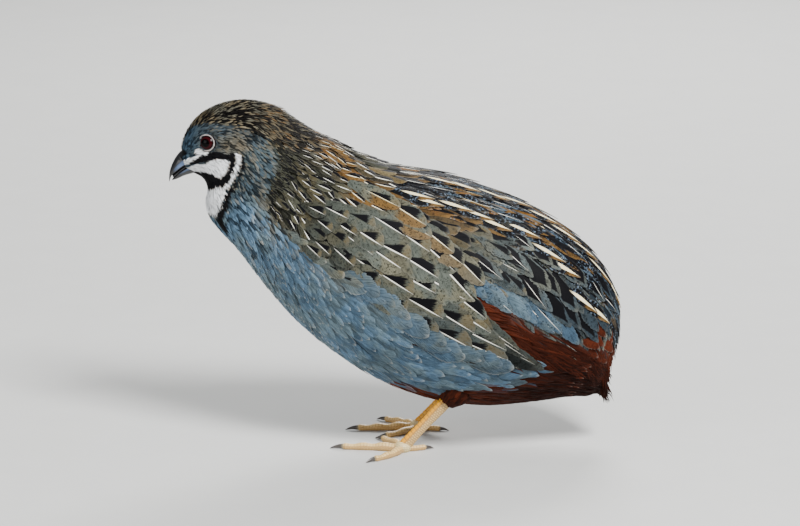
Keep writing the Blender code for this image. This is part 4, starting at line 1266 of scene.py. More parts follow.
def tier_feathers(tier, level, side, first_lift, sunk):
    """One tier of one side, with its tips' places."""
    name, upper, lower, count, length, half, first, last = tier
    rng = np.random.default_rng([bpy.context.scene.quail_sizes.seed, level, side == "left"])
    share = np.linspace(0.0, 1.0, count)
    tips = np.array(upper) + (np.array(lower) - np.array(upper)) * share[:, None]
    heading = np.radians(first + (last - first) * share)
    forward = np.column_stack([np.cos(heading), -np.sin(heading)])
    stagger = (np.arange(count) % 2 - 0.5) * (0.0 if "primaries" in name else 2.0)
    tips = tips + forward * (stagger + rng.normal(0, 0.5, count))[:, None]
    tips += rng.normal(0, 0.25, (count, 2))
    heading = heading + rng.normal(0, 0.05, count)
    reach = length * rng.normal(1.0, 0.04, count)
    lift = np.full(count, first_lift) + rng.normal(0, 0.05, count)
    feathers = side_feathers(tips, heading, reach, VANE_SHARES, np.full(count, sunk), lift)
    feathers.rolled(rng.normal(0.0, 0.05, count))
    if side == "right":
        feathers = feathers.mirrored()
    flight = name in ("outer_primaries", "primaries", "secondaries")
    pointed = np.full(count, 0.45 if flight or "rear" in name else 0.25)
    widths = half * rng.normal(1.0, 0.07, count)[:, None] * vane_profile(VANE_SHARES, pointed)
    return feathers, widths, tips, rng


def wing_feathers(side):
    """One wing's coat: tiers of feathers from the flight feathers out to the coverts and scapulars."""
    coat = Coat(f"wing_coat_{side}")
    for level, tier in enumerate(WING_TIERS):
        sunk = -0.4 if tier[0] in ("small_coverts", "marginal_coverts", "scapulars") else 0.05 * level
        feathers, widths, tips, rng = tier_feathers(tier, level, side, 0.38 + 0.055 * level, sunk)
        looks = wing_markings(tier[0], tips, rng)
        coat.add(feathers, VANE_SHARES, widths, 0.06, 0.05, *looks, WIDE, (rng, 0.07))
    return coat


def wing_markings(tier, tips, rng):
    """Tint, marks and finish of one tier of the wing."""
    count = len(tips)
    flight = tier in ("outer_primaries", "primaries")
    lower = smooth_step(52.0, 36.0, tips[:, 1] + 0.45 * tips[:, 0])
    tint = blend(blend(WING_GREY, WING_BLUE, lower * 0.8), OLIVE, 0.18)
    fore = smooth_step(4.0, -14.0, tips[:, 0])
    low = smooth_step(41.0, 31.0, tips[:, 1])
    light = 0.24 if flight else 0.72 - 0.46 * fore - 0.36 * low
    tint = tint * (light + 0.28 * rng.random(count))[:, None]
    # The outer primaries along the wing's lower edge are painted near black: their own dark brown, and a
    # painted shadow line between the wing and the belly.
    if tier == "outer_primaries":
        tint = tint * 0.25
    warm = np.linspace(1.0, 0.35, count) if tier == "scapulars" else 0.0
    shaft = np.where(rng.random(count) < (0.5 if flight else 0.85), 0.022 + 0.018 * rng.random(count), 0.0)
    blotch = (rng.random(count) < (0.6 if flight else 0.92)) * (0.85 + 0.35 * rng.random(count))
    blotch = blotch * (1 - 0.38 * smooth_step(40.0, 31.0, tips[:, 1]))
    marks = columns(count, shaft, blotch, 0.6 + 0.4 * rng.random(count), warm)
    return tint, marks, columns(count, 0.04, 0.35, rng.random(count), 0.0)


def rear_feathers(side):
    """The long blue-grey feathers between the wing and the tail."""
    coat = Coat(f"rear_coat_{side}")
    for level, tier in enumerate(REAR_TIERS):
        feathers, widths, tips, rng = tier_feathers(tier, 20 + level, side, 0.32 + 0.09 * level, -0.35)
        count = len(tips)
        pick = rng.random((count, 4))
        olive = (0.2 * level + 0.15 * pick[:, 0]) * smooth_step(60, 36, tips[:, 0])
        tint = blend(BELLY_BLUE if level == 0 else REAR_BLUE, WING_GREY, olive)
        wedge = (level > 0) * (pick[:, 3] < 0.42 + 0.46 * smooth_step(32, 46, tips[:, 0])) * 0.6
        light = 0.66 + 0.4 * pick[:, 1] + 0.25 * (wedge > 0) - 0.3 * smooth_step(38, 52, tips[:, 0])
        tint = tint * light[:, None]
        shaft = np.where(pick[:, 2] < 0.25, 0.025, 0.0)
        blotch = (pick[:, 3] < 0.85) * (0.9 + 0.3 * pick[:, 2] + 0.35 * smooth_step(38, 50, tips[:, 0]))
        blotch = np.minimum(blotch, 0.5) * (pick[:, 3] < 0.5) if level == 0 else blotch * (wedge == 0)
        marks = columns(count, shaft, blotch, 0.4 + 0.6 * pick[:, 0], 0.0)
        finish = columns(count, 0.05, 0.4, pick[:, 1], wedge)
        coat.add(feathers, VANE_SHARES, widths, 0.06, 0.07, tint, marks, finish, WIDE, (rng, 0.09))
    return coat


def along_line(line, count):
    """Points spaced evenly along a line, and the line's way at each."""
    line = np.array(line)
    run = np.append(0.0, np.cumsum(np.linalg.norm(np.diff(line, axis=0), axis=1)))
    at = np.linspace(0.0, run[-1], count)
    points = np.column_stack([np.interp(at, run, line[:, k]) for k in range(2)])
    return points, np.arctan2(-np.gradient(points[:, 1]), np.gradient(points[:, 0]))


def towards_tip(tint, tip_tone, amount, start, ring):
    """Each feather's tint at each of its points, changing to another tone from a share of its length on."""
    along = np.append(np.repeat(np.array(VANE_SHARES[:-1]), ring), 1.0)
    share = amount * smooth_step(start, 1.0, along)[None, :, None]
    return tint[:, None] * (1 - share) + tip_tone * share


def flank_feathers(side):
    """The slate feathers whose tips cover the wing's lower edge."""
    coat = Coat(f"flank_coat_{side}")
    for row, (count, back, length) in enumerate(FLANK_ROWS):
        rng = np.random.default_rng([bpy.context.scene.quail_sizes.seed, 40 + row, side == "left"])
        tips, way = along_line(FLANK_LINE, count)
        heading = way * 0.75 + math.radians(4) + rng.normal(0, 0.07, count)
        forward = np.column_stack([np.cos(heading), -np.sin(heading)])
        tips = tips + forward * (back + rng.normal(0, 0.7, count))[:, None] - np.array([0.0, 0.4 * row])
        grown = 0.45 + 0.55 * smooth_step(-20.0, -2.0, tips[:, 0])
        reach = length * grown * rng.normal(1.0, 0.06, count)
        lift = 0.85 * grown - 0.05 * row + rng.normal(0, 0.04, count)
        feathers = side_feathers(tips, heading, reach, VANE_SHARES, 0.4 * grown - 0.4, lift)
        feathers.rolled(rng.normal(-0.05, 0.05, count))
        if side == "right":
            feathers = feathers.mirrored()
        widths = 3.1 * (grown * rng.normal(1.0, 0.12, count))[:, None]
        widths = widths * vane_profile(VANE_SHARES, np.full(count, 0.4))
        front = smooth_step(-4.0, -16.0, tips[:, 0])
        hind = smooth_step(8.0, 20.0, tips[:, 0])
        tint = blend(BELLY_BLUE, WING_GREY, 0.15 + front * 0.7 + 0.3 * (row == 0) * rng.random(count))
        tint = tint * (0.7 + 0.35 * rng.random(count))[:, None]
        tint = blend(tint, BELLY_BLUE * 0.7, 0.7 * hind)
        tint = towards_tip(tint, WING_GREY, 0.3 * (1 - 0.8 * hind)[:, None, None], 0.55, len(WIDE[0]))
        pick = rng.random((count, 3))
        spots = np.where(pick[:, 0] < 0.4, 0.5 + 0.3 * front, 0.0)
        marks = columns(count, 0.0, spots, 0.3 * (pick[:, 1] < 0.5), 0.0)
        finish = columns(count, 0.05 + 0.17 * (pick[:, 2] < 0.4), 0.7, pick[:, 1], 0.0)
        coat.add(feathers, VANE_SHARES, widths, 0.06, 0.12, tint, marks, finish, WIDE, (rng, 0.10))
    return coat


def streak_feathers():
    """The long back feathers with broad cream streaks, in rows either side of the spine."""
    sizes = bpy.context.scene.quail_sizes
    coat = Coat("streak_coat")
    shares = VANE_SHARES
    for row, line in enumerate(STREAK_ROWS):
        for side in (1.0, -1.0):
            rng = np.random.default_rng([sizes.seed, 50 + row, side > 0])
            count = 10 if row == 0 else 9
            u = np.linspace(line[0][0] - 0.9, line[-1][0] - 0.8, count) + rng.normal(0, 0.08, count)
            down = read_off(line, u + 0.7) + rng.normal(0, 2.4, count)
            angle = np.mod(np.radians(down) * side, TURN)
            length = 15.0 * rng.normal(1.0, 0.06, count)
            yaw = rng.normal(0.04, 0.06, count)
            feathers = trace(u, angle, length, yaw, shares, np.full(count, -0.35), np.full(count, 0.75))
            feathers.rolled(rng.normal(0.0, 0.06, count))
            widths = 2.3 * rng.normal(1.0, 0.06, count)[:, None] * vane_profile(shares, np.full(count, 0.85))
            tint = np.tile(BACK_BLACK * 1.3, (count, 1))
            marks = columns(count, 0.18 + 0.10 * rng.random(count), 0.0, 0.3, 0.9)
            finish = columns(count, 0.1, 0.3, rng.random(count), 1.0)
            coat.add(feathers, shares, widths, 0.08, 0.14, tint, marks, finish, WIDE, (rng, 0.08))
    return coat


# Tail tiers: the station of the roots, the middle angle from the top and the spread either side,
# the count, the length, the half width, and how far the root sinks and the tip rises.
TAIL_TIERS = (
    ("tail_feathers", 18.0, 0.0, 60.0, 12, 10.8, 2.3, -2.4, -1.2),
    ("upper_long", 17.9, 0.0, 90.0, 22, 9.2, 1.8, -1.5, -0.2),
    ("upper_short", 17.3, 0.0, 105.0, 26, 9.0, 1.8, -1.0, 0.2),
    ("under_long", 18.0, 180.0, 56.0, 21, 7.5, 0.8, -1.6, -0.1),
    ("under_short", 17.3, 180.0, 70.0, 29, 7.5, 0.8, -1.1, 0.25),
)


def tail_feathers():
    """The tail's feathers and the coverts that hang over and under them."""
    sizes = bpy.context.scene.quail_sizes
    coat = Coat("tail_coat")
    shares = VANE_SHARES
    for level, (tier, u, middle, spread, count, length, half, sunk, lift) in enumerate(TAIL_TIERS):
        rng = np.random.default_rng([sizes.seed, 80 + level])
        share = np.linspace(-1, 1, count)
        angle = np.radians(middle + spread * share + rng.normal(0, 2.0, count))
        reach = length * (1 - 0.12 * np.abs(share)) * rng.normal(1.0, 0.06, count)
        stations = np.full(count, u) + rng.normal(0, 0.06, count)
        yaw = rng.normal(0, 0.09, count)
        stray = 0.7 * rng.random(count) ** 2 * tier.startswith("upper")
        feathers = trace(stations, angle, reach, yaw, shares, np.full(count, sunk), lift + stray)
        feathers.rolled(rng.normal(0.0, 0.08, count))
        widths = half * rng.normal(1.0, 0.08, count)[:, None] * vane_profile(shares, np.full(count, 0.6))
        warm = tier.startswith("under") or tier == "tail_feathers"
        outer = np.abs(share) > 0.55
        brown = blend(CHESTNUT_DARK, CHESTNUT, 0.3 + 0.7 * rng.random(count))
        slate = blend(REAR_BLUE * 0.8, BACK_BLACK, 0.3 + 0.7 * rng.random(count))
        tint = np.where((outer | warm)[:, None], brown, slate)
        shaft = 0.03 * (rng.random(count) < (0.0 if warm else 0.3)) * ~outer
        blotch = 1.2 * (rng.random(count) < 0.7) * (not warm) * ~outer
        marks = columns(count, shaft, blotch, 0.0 if warm else 0.5, 0.0)
        finish = columns(count, 0.12, 0.5, rng.random(count), 0.0)
        coat.add(feathers, shares, widths, 0.07, 0.15, tint, marks, finish, WIDE, (rng, 0.12))
    return coat


def make_skin(material):
    """One closed skin for head, neck, torso and tail, inside the feathers' outer surface."""
    rings, sides = 240, 192
    along = np.linspace(0.0, BODY.last, rings + 1)
    along[0], along[-1] = 0.06, BODY.last - 0.06
    u, angle = pairs(along, round_turns(sides))
    points, normals, _ = BODY.frame(u, angle)
    points, faces = capped(points - normals * read_off(SKIN_DEPTH, u)[:, None], rings + 1, sides)
    u, angle = np.append(u, [0.0, BODY.last]), np.append(angle, [0.0, 0.0])
    skin = mesh_object("skin", to_world(points), faces, material)
    rng = np.random.default_rng(bpy.context.scene.quail_sizes.seed)
    paint(skin, "tint", opaque(coat_colours(u, angle, points, rng)))
    unwrap(skin, "OFBake", np.column_stack([u / BODY.last, angle / TURN]))
    return skin


def painted_material(name, roughness, bump, grain_scale, strength, **constants):
    """A surface with its own painted colours and a fine grain."""
    r = Recipe(name, **constants)
    tint = r.attribute("tint")["Color"]
    grain = r.noise(r.places(), grain_scale, 3.0, 0.55)
    r.link("Base Color", r.scaled(tint, (grain - 0.5) * strength + 1.0))
    r.link("Roughness", (grain - 0.5) * 0.2 + roughness)
    r.bump(grain, bump, 0.5)
    return r.material


def ring_faces(rings, sides):
    """Triangles between rings of points, facing outwards when rings run backwards round the line."""
    i, j = pairs(np.arange(rings - 1), np.arange(sides))
    a, b = i * sides + j, i * sides + (j + 1) % sides
    return np.concatenate([np.column_stack([a, b, b + sides]), np.column_stack([a, b + sides, a + sides])])


def capped(points, rings, sides):
    """Adds a middle point to each end of a stack of rings, and the faces of the whole."""
    points = points.reshape(rings, sides, 3)
    ends = np.array([points[0].mean(0), points[-1].mean(0)])
    first, last = rings * sides, rings * sides + 1
    j = np.arange(sides)
    near = np.column_stack([(j + 1) % sides, j, np.full(sides, first)])
    start = (rings - 1) * sides
    far = np.column_stack([start + j, start + (j + 1) % sides, np.full(sides, last)])
    return np.vstack([points.reshape(-1, 3), ends]), np.concatenate([ring_faces(rings, sides), near, far])


def tube(path, radii, sides, flatten=1.0, relief=None, floor=None):
    """A closed tube along path. The relief gets the way run in mm and the turn from the upper side."""
    path = np.asarray(path, float)
    along = unit(np.gradient(path, axis=0))
    across = unit(np.cross(along, [0.0, 0.0, 1.0]))
    over = np.cross(across, along)
    run = np.append(0.0, np.cumsum(np.linalg.norm(np.diff(path, axis=0), axis=1)))
    turn = round_turns(sides)
    radius = np.repeat(np.asarray(radii, float)[:, None], sides, axis=1)
    if relief is not None:
        radius = radius + relief(*np.broadcast_arrays(run[:, None], turn[None]))
    ring = np.sin(turn)[None, :, None] * across[:, None] * flatten
    ring = ring + np.cos(turn)[None, :, None] * over[:, None]
    points = path[:, None] + ring * radius[..., None]
    if floor is not None:
        points[..., 2] = np.maximum(points[..., 2], floor)
    points, faces = capped(points, len(path), sides)
    return points, faces[:, ::-1], run


# Rings round the eyeball: the angle off the way it looks, and the colour.
EYE_COLOURS = (
    *((angle, BLACK * 0.1) for angle in (0.0, 8, 16, 22, 24.5)),
    (25.5, IRIS_DARK),
    (30, IRIS_RED * 0.8),
    (36, IRIS_RED),
    (42, IRIS_RED * 0.7),
    *((angle, IRIS_DARK * 0.5) for angle in (46, 48, 52, 60, 75, 90, 110, 130, 150, 165)),
)


def eyeball_points():
    """The left eyeball in rings round its own line of sight, with each ring's colour."""
    centre, look, ahead, over = eye_place()
    angles, colours = zip(*EYE_COLOURS)
    sides = 64
    turn = round_turns(sides)
    polar = np.radians(angles[1:])
    # The clear front bulges a little past the ball.
    radius = EYE_RADIUS * (1 + EYE_BULGE * np.exp(-((polar / 0.62) ** 4)))
    ring = np.cos(turn)[None, :, None] * ahead * LID_OVAL + np.sin(turn)[None, :, None] * over
    direction = np.cos(polar)[:, None, None] * look + np.sin(polar)[:, None, None] * ring
    points, faces = capped(centre + radius[:, None, None] * direction, len(polar), sides)
    points[-2] = centre + look * EYE_RADIUS * (1 + EYE_BULGE)
    return points, faces, np.vstack([np.repeat(colours[1:], sides, axis=0), colours[0], colours[-1]])


def flipped(points, faces):
    """The same surface on the bird's other side."""
    return points * np.array([1.0, -1.0, 1.0]), faces[:, ::-1]


def painted_piece(name, points, faces, tint, material):
    """A mesh object with a colour for each of its points."""
    made = mesh_object(name, to_world(points), faces, material)
    paint(made, "tint", opaque(tint))
    return made


def bead_tree(material):
    """Geometry Nodes that put a bead on each point, with named inputs for its size and its wander."""
    tree = bpy.data.node_groups.new("lid_beads", "GeometryNodeTree")
    face = tree.interface
    face.new_socket("Geometry", in_out="INPUT", socket_type="NodeSocketGeometry")
    size = face.new_socket("Bead size", in_out="INPUT", socket_type="NodeSocketFloat")
    size.default_value, size.min_value, size.subtype = 0.0002, 0.0, "DISTANCE"
    seed = face.new_socket("Seed", in_out="INPUT", socket_type="NodeSocketInt")
    face.new_socket("Geometry", in_out="OUTPUT", socket_type="NodeSocketGeometry")
    add, link = tree.nodes.new, tree.links.new
    source, result = add("NodeGroupInput"), add("NodeGroupOutput")
    ball = add("GeometryNodeMeshIcoSphere")
    ball.inputs["Subdivisions"].default_value = 3
    link(source.outputs["Bead size"], ball.inputs["Radius"])
    spread = add("FunctionNodeRandomValue")
    spread.data_type = "FLOAT_VECTOR"
    spread.inputs["Min"].default_value = (0.75, 0.75, 0.75)
    spread.inputs["Max"].default_value = (1.2, 1.2, 1.2)
    link(source.outputs["Seed"], spread.inputs["Seed"])
    beads = add("GeometryNodeInstanceOnPoints")
    link(source.outputs["Geometry"], beads.inputs["Points"])
    link(ball.outputs["Mesh"], beads.inputs["Instance"])
    link(spread.outputs["Value"], beads.inputs["Scale"])
    whole = add("GeometryNodeRealizeInstances")
    link(beads.outputs["Instances"], whole.inputs["Geometry"])
    smooth = add("GeometryNodeSetShadeSmooth")
    link(whole.outputs["Geometry"], smooth.inputs["Geometry"])
    dress = add("GeometryNodeSetMaterial")
    dress.inputs["Material"].default_value = material
    link(smooth.outputs["Geometry"], dress.inputs["Geometry"])
    link(dress.outputs["Geometry"], result.inputs["Geometry"])
    return tree, seed


def lid_material():
    """The pale grey skin of the beads round the eye."""
    r = Recipe("eyelid", roughness=0.55)
    grain = r.noise(r.places(), 3000.0, 2.0, 0.5)
    r.link("Base Color", r.mix(grain.smooth(0.35, 0.65), EYE_RING * 0.55, EYE_RING))
    r.bump(grain, 0.00003, 0.4)
    return r.material


def make_lid(name, side, tree, seed):
    """A ring of pale beads round an eye, made by the tree from a ring of points and kept as a mesh."""
    centre, look, ahead, over = eye_place()
    turn = round_turns(LID_BEADS)
    ring = np.cos(turn)[:, None] * ahead * LID_OVAL + np.sin(turn)[:, None] * over
    points = (centre + look * LID_OUT + ring * LID_RADIUS) * np.array([1.0, side, 1.0])
    made = mesh_object(name, to_world(points), [])
    beads = made.modifiers.new("beads", "NODES")
    beads.node_group = tree
    beads[seed.identifier] = 3
    shape = made.evaluated_get(bpy.context.evaluated_depsgraph_get())
    mesh = bpy.data.meshes.new_from_object(shape)
    made.modifiers.clear()
    made.data = mesh
    return made


def bill_half(sweep, rings, sides):
    """Points, faces and colours of one half of the bill."""
    u, angle = pairs(np.linspace(0.001, sweep.last - 0.001, rings), round_turns(sides))
    points = sweep.points(u, angle)
    down = head_angle(angle)
    if sweep is BILL_UPPER:
        # The nostril is a slit under a low hood, on each side.
        _, normals, _ = sweep.frame(u, angle)
        x, z = (points[:, [0, 2]] - np.array(NOSTRIL_AT)).T
        run = x * math.cos(NOSTRIL_SLOPE) - z * math.sin(NOSTRIL_SLOPE)
        rise = x * math.sin(NOSTRIL_SLOPE) + z * math.cos(NOSTRIL_SLOPE)
        pit = np.exp(-((run / 0.9) ** 2) - (((rise + 0.05) / 0.28) ** 2))
        hood = np.exp(-((run / 1.1) ** 2) - (((rise - 0.42) / 0.3) ** 2))
        on_side = np.abs(np.sin(angle)) > 0.4
        points = points + normals * ((0.16 * hood - 0.34 * pit) * on_side)[:, None]
        blue = smooth_step(66.0, 80.0, down) * smooth_step(0.1, 0.6, u) * smooth_step(3.4, 2.0, u)
        blue = blue * smooth_step(101.0, 95.0, down)
    else:
        blue = smooth_step(110.0, 90.0, down) * smooth_step(70.0, 78.0, down) * smooth_step(3.0, 0.8, u)
    tint = blend(BILL_BLACK, BILL_BLUE, 0.85 * blue)
    points, faces = capped(points, rings, sides)
    return points, faces, np.vstack([tint, BILL_BLACK, BILL_BLACK])


def make_mouth(material):
    """The inside of the mouth, closing the line between the bill's halves all but at the tips. It is darker
    than the bill: painted shade in that line.
    """
    rows = np.array(MOUTH)
    share = np.linspace(0, len(rows) - 1, MOUTH_RINGS)
    x, z, half, tall = (np.interp(share, np.arange(len(rows)), row)[:, None] for row in rows.T)
    turn = round_turns(MOUTH_SIDES)
    sections = [x - 0.45 * tall * np.cos(turn), -half * np.sin(turn), z + tall * np.cos(turn)]
    points, faces = capped(np.stack(sections, axis=-1), MOUTH_RINGS, MOUTH_SIDES)
    return painted_piece("bill_mouth", points, faces, np.tile(BILL_BLACK * 0.6, (len(points), 1)), material)


def foot_at(foot):
    """Where foot 0 or 1 stands. Both are worked out on the left."""
    return np.array([FOOT_AT[0] + RIGHT_FOOT_BACK * foot, FOOT_AT[1]])


def leg_line(foot, share):
    """Points on a shank's line: 0 is the foot and 1 the ankle."""
    share = np.asarray(share, float)[..., None]
    start = np.array([*foot_at(foot), FLOOR + PAD_HEIGHT])
    return start + share * np.array([ANKLE_BACK, 0.0, ANKLE_RISE - FLOOR - PAD_HEIGHT])


def plates(run, turn, pitch, height, spread):
    """Overlapping plates down the upper side of a leg or toe, and small scales round the rest."""
    here = np.mod(run / pitch, 1.0)
    over = np.cos(turn)
    front = smooth_step(math.cos(spread + 0.15), math.cos(spread - 0.15), over)
    plate = smooth_step(0.0, 0.34, here) * (1 - 0.5 * here)
    row = np.floor(run / (pitch * 0.5))
    small = np.abs(np.sin(turn * 7 + row * 1.57)) * np.sin(np.pi * np.mod(run / (pitch * 0.5), 1.0))
    seam = 1 - 0.8 * np.exp(-((np.abs(np.arccos(np.clip(over, -1, 1)) - spread) / 0.09) ** 2))
    return height * (plate * front + 0.6 * small * (1 - front)) * seam


def leg_tint(height, relief, pale):
    """Yellow scales, darker in the grooves, paler towards the toes."""
    groove = smooth_step(0.6, 0.1, relief / height)
    rows = blend(LEG_YELLOW, LEG_PALE, np.broadcast_to(pale, relief.shape).ravel())
    return blend(rows, LEG_GROOVE, 0.75 * groove.ravel())


def foot_ball(foot):
    """Points, faces and colours of the ball of a foot, with small scales."""
    rings, sides = 60, 80
    u, v = pairs(np.linspace(0.04, math.pi - 0.04, rings), round_turns(sides))
    bumps = np.abs(np.sin(v * 9) * np.sin(u * 9))
    ball = np.column_stack([np.sin(u) * np.cos(v), np.sin(u) * np.sin(v), np.cos(u)])
    ball = ball * (1 + 0.06 * bumps[:, None]) * np.array(PAD_SIZE) * 0.98
    ball = ball + np.array([*foot_at(foot), FLOOR + PAD_HEIGHT])
    ball[:, 2] = np.maximum(ball[:, 2], FLOOR)
    return *capped(ball, rings, sides), blend(LEG_PALE, LEG_GROOVE, np.append(1 - bumps, [0, 0]) * 0.3)


def make_shank(side, foot, material):
    """A scaled shank with the ball of its foot."""
    rings, sides = 220, 56
    share = np.linspace(SHANK_FOOT, SCALES_TOP, rings)
    radii = np.interp(share, np.linspace(SHANK_FOOT, SHANK_TOP, len(SHANK_RADII)), SHANK_RADII[::-1])
    radii[:6] *= np.linspace(0.5, 1.0, 6)
    pitch, height = SHANK_PLATES

    def relief(run, turn):
        return plates(run, turn, pitch, height, 1.15)

    points, faces, run = tube(leg_line(foot, share), radii - height * 0.5, sides, 0.78, relief, FLOOR)
    turn = round_turns(sides)[None]
    raised = relief(*np.broadcast_arrays(run[:, None], turn))
    tint = leg_tint(height, raised, 0.75 * smooth_step(0.55, 0.15, np.cos(turn)))
    ball, ball_faces, pad = foot_ball(foot)
    faces = np.concatenate([faces, ball_faces + len(points)])
    points = np.concatenate([points, ball])
    tint = np.vstack([tint, LEG_YELLOW, LEG_YELLOW, pad])
    if side == "right":
        points, faces = flipped(points, faces)
    return painted_piece(f"shank_scales_{side}", points, faces, tint, material)


def make_claw(path, radius, length):
    """Points, faces and colours of the claw at the end of a toe's path."""
    rings, sides = 40, 28
    tip, forward = path[-1], unit((path[-1] - path[-2]) * np.array([1.0, 1.0, 0.0]))
    share = np.linspace(0.0, 0.985, rings)
    rise = 0.1 * np.sin(3 * share) - 0.82 * share**2 * (tip[2] - FLOOR)
    line = tip + forward * (-0.25 + (length + 0.5) * share)[:, None]
    line = line + np.array([0.0, 0.0, 1.0]) * rise[:, None]
    radii = radius * 0.80 * (1 - share) ** 0.75 + 0.02
    points, faces, _ = tube(line, radii, sides, 0.78, None, FLOOR)
    at_root = smooth_step(0.25, 0.0, np.append(np.repeat(share, sides), [0, 1]))
    return points, faces, blend(CLAW_GREY, LEG_PALE, 0.5 * at_root)


def make_toe(side, foot, toe, leg_material, claw_material):
    """A scaled toe and its claw."""
    name, turns, length, thick, thin, joints, claw_length = toe
    turn = math.radians(turns[foot])
    ahead = np.array([-math.cos(turn), -math.sin(turn), 0.0])
    across = np.array([-ahead[1], ahead[0], 0.0])
    rings, sides = 140, 40
    share = np.linspace(0.02, 1.0, rings)
    radii = (thick + (thin - thick) * share) * (1 + 0.10 * np.cos(TURN * joints * share))
    curl = 0.10 * np.sin(math.pi * share) * length * math.sin(turn)
    middle = np.column_stack([np.tile(foot_at(foot), (rings, 1)), FLOOR + radii * 0.88])
    path = middle + ahead * (length * share)[:, None] + across * curl[:, None]
    claw, claw_faces, claw_tint = make_claw(path, radii[-1], claw_length)
    radii[-8:] *= np.sqrt(np.clip(1 - np.linspace(0, 0.97, 8) ** 2, 0, 1)) * 0.35 + 0.65
    pitch, height = TOE_PLATES

    def relief(run, around):
        return plates(run, around, pitch, height, 1.2)

    points, faces, run = tube(path, radii - height * 0.5, sides, 1.0, relief, FLOOR)
    raised = relief(*np.broadcast_arrays(run[:, None], round_turns(sides)[None]))
    tint = np.vstack([leg_tint(height, raised, 0.65), LEG_PALE, LEG_PALE])
    if side == "right":
        points, faces = flipped(points, faces)
        claw, claw_faces = flipped(claw, claw_faces)
    return (
        painted_piece(f"toe_scales_{side}_{name}", points, faces, tint, leg_material),
        painted_piece(f"claw_horn_{side}_{name}", claw, claw_faces, claw_tint, claw_material),
    )


def thigh_frame(foot, share, turn):
    """Points on the thigh, outward normals and the way down it, at each share up and turn round it."""
    start = leg_line(foot, SHANK_TOP)
    up = unit(leg_line(foot, 1.0) - leg_line(foot, 0.0))
    across = unit(np.cross(up, [0.0, 0.0, 1.0]))
    over = np.cross(across, up)
    radius = np.interp(share, *zip(*THIGH_PROFILE))
    out = np.sin(turn)[:, None] * across + np.cos(turn)[:, None] * over
    points = start + up * (THIGH_LENGTH * share)[:, None] + out * radius[:, None]
    return points, out, np.tile(-up, (len(share), 1))


def make_thigh(side, foot, material, skin):
    """The thigh's skin and its short feathers, which hang down to the shank."""
    rng = np.random.default_rng([bpy.context.scene.quail_sizes.seed, 30 + foot])
    rings, sides, count = 24, 32, 520
    share, turn = pairs(np.linspace(THIGH_BARE, 1, rings), round_turns(sides))
    points, out, _ = thigh_frame(foot, share, turn)
    points, faces = capped(points - out * 0.5, rings, sides)
    faces = faces[:, ::-1]
    share, turn = rng.uniform(THIGH_BARE + 0.12, 0.95, count), rng.uniform(0, TURN, count)
    reach = 3.6 * rng.normal(1.0, 0.12, count) * (0.4 + 0.6 * smooth_step(0.36, 0.7, share))
    lines = []
    for step in HEAD_SHARES:
        here, out, down = thigh_frame(foot, share - step * reach / THIGH_LENGTH, turn)
        lines.append((here + out * (-0.3 + 0.4 * step), out, down))
    centres, normals, ahead = (np.stack(rows, axis=1) for rows in zip(*lines))
    feathers = Feathers(centres, normals, ahead, np.array([10 + 3 * share, turn]))
    if side == "right":
        feathers = feathers.mirrored()
        points, faces = flipped(points, faces)
    shade = rng.random(count)
    # The thigh's feathers are dark chestnut, painted darker still: painted shade under the belly.
    brown = blend(CHESTNUT_DARK, CHESTNUT, 0.05 + 0.5 * shade)
    widths = 0.6 * vane_profile(HEAD_SHARES, np.full(count, 0.8))
    coat = Coat(f"thigh_coat_{side}")
    marks, finish = np.zeros((count, 4)), columns(count, 0.0, 0.6, shade, 0.0)
    coat.add(feathers, HEAD_SHARES, widths, 0.05, 0.15, brown, marks, finish, SLIM)
    tint = np.tile(CHESTNUT_DARK, (len(points), 1))
    return painted_piece(f"thigh_skin_{side}", points, faces, tint, skin), coat.build(material)


FLESH = ("head", "neck", "torso")


class QUAIL_OT_skin(bpy.types.Operator):
    """Build the skin under the feathers"""

    bl_idname = "quail.skin"
    bl_label = "Skin"

    def execute(self, context):
        place(make_skin(skin_material()), "body_feathers", *FLESH)
        return {"FINISHED"}


class QUAIL_OT_body_coats(bpy.types.Operator):
    """Build the feathers of the head, neck, breast, back and belly"""

    bl_idname = "quail.body_coats"
    bl_label = "Body feathers"

    def execute(self, context):
        material = plumage_material("contour_feathers", 0.6, 0.32, 2.0, stain=0.45)
        for coat in body_feathers():
            place(coat.build(material), "head_feathers" if coat.name == "head_coat" else "body_feathers")
        streaks = streak_feathers()
        place(streaks.build(plumage_material("streak_vanes", 0.6, web_start=0.66)), "body_feathers")
        return {"FINISHED"}


class QUAIL_OT_wings(bpy.types.Operator):
    """Build the wings' feathers, tier by tier"""

    bl_idname = "quail.wings"
    bl_label = "Wings"

    def execute(self, context):
        vanes = plumage_material("wing_vanes", 0.55, stain=0.42)
        contour = bpy.data.materials["contour_feathers"]
        for side in ("left", "right"):
            place(wing_feathers(side).build(vanes), "wing_feathers", f"wing_{side}")
            place(rear_feathers(side).build(vanes), "wing_feathers")
            place(flank_feathers(side).build(contour), "body_feathers")
        return {"FINISHED"}


class QUAIL_OT_tail(bpy.types.Operator):
    """Build the tail feathers and their coverts"""

    bl_idname = "quail.tail"
    bl_label = "Tail"

    def execute(self, context):
        coat = tail_feathers()
        place(coat.build(plumage_material("tail_feathers", 0.6)), "tail_feathers", "tail")
        return {"FINISHED"}


class QUAIL_OT_eyes(bpy.types.Operator):
    """Build both eyeballs and their beaded lids"""

    bl_idname = "quail.eyes"
    bl_label = "Eyes"

    def execute(self, context):
        gloss = {"specular_ior_level": 0.02, "coat_weight": 0.12, "coat_roughness": 0.03}
        ball = painted_material("eyeball", 0.16, 0.0, 1500.0, 0.5, **gloss)
        tree, seed = bead_tree(lid_material())
        points, faces, tint = eyeball_points()
        for side, turned in (("left", (points, faces)), ("right", flipped(points, faces))):
            place(painted_piece(f"eyeball_{side}", *turned, tint, ball), "eye", f"eye_{side}")
            lid = make_lid(f"eyelid_{side}", 1.0 if side == "left" else -1.0, tree, seed)
            place(lid, "head_feathers")
        return {"FINISHED"}


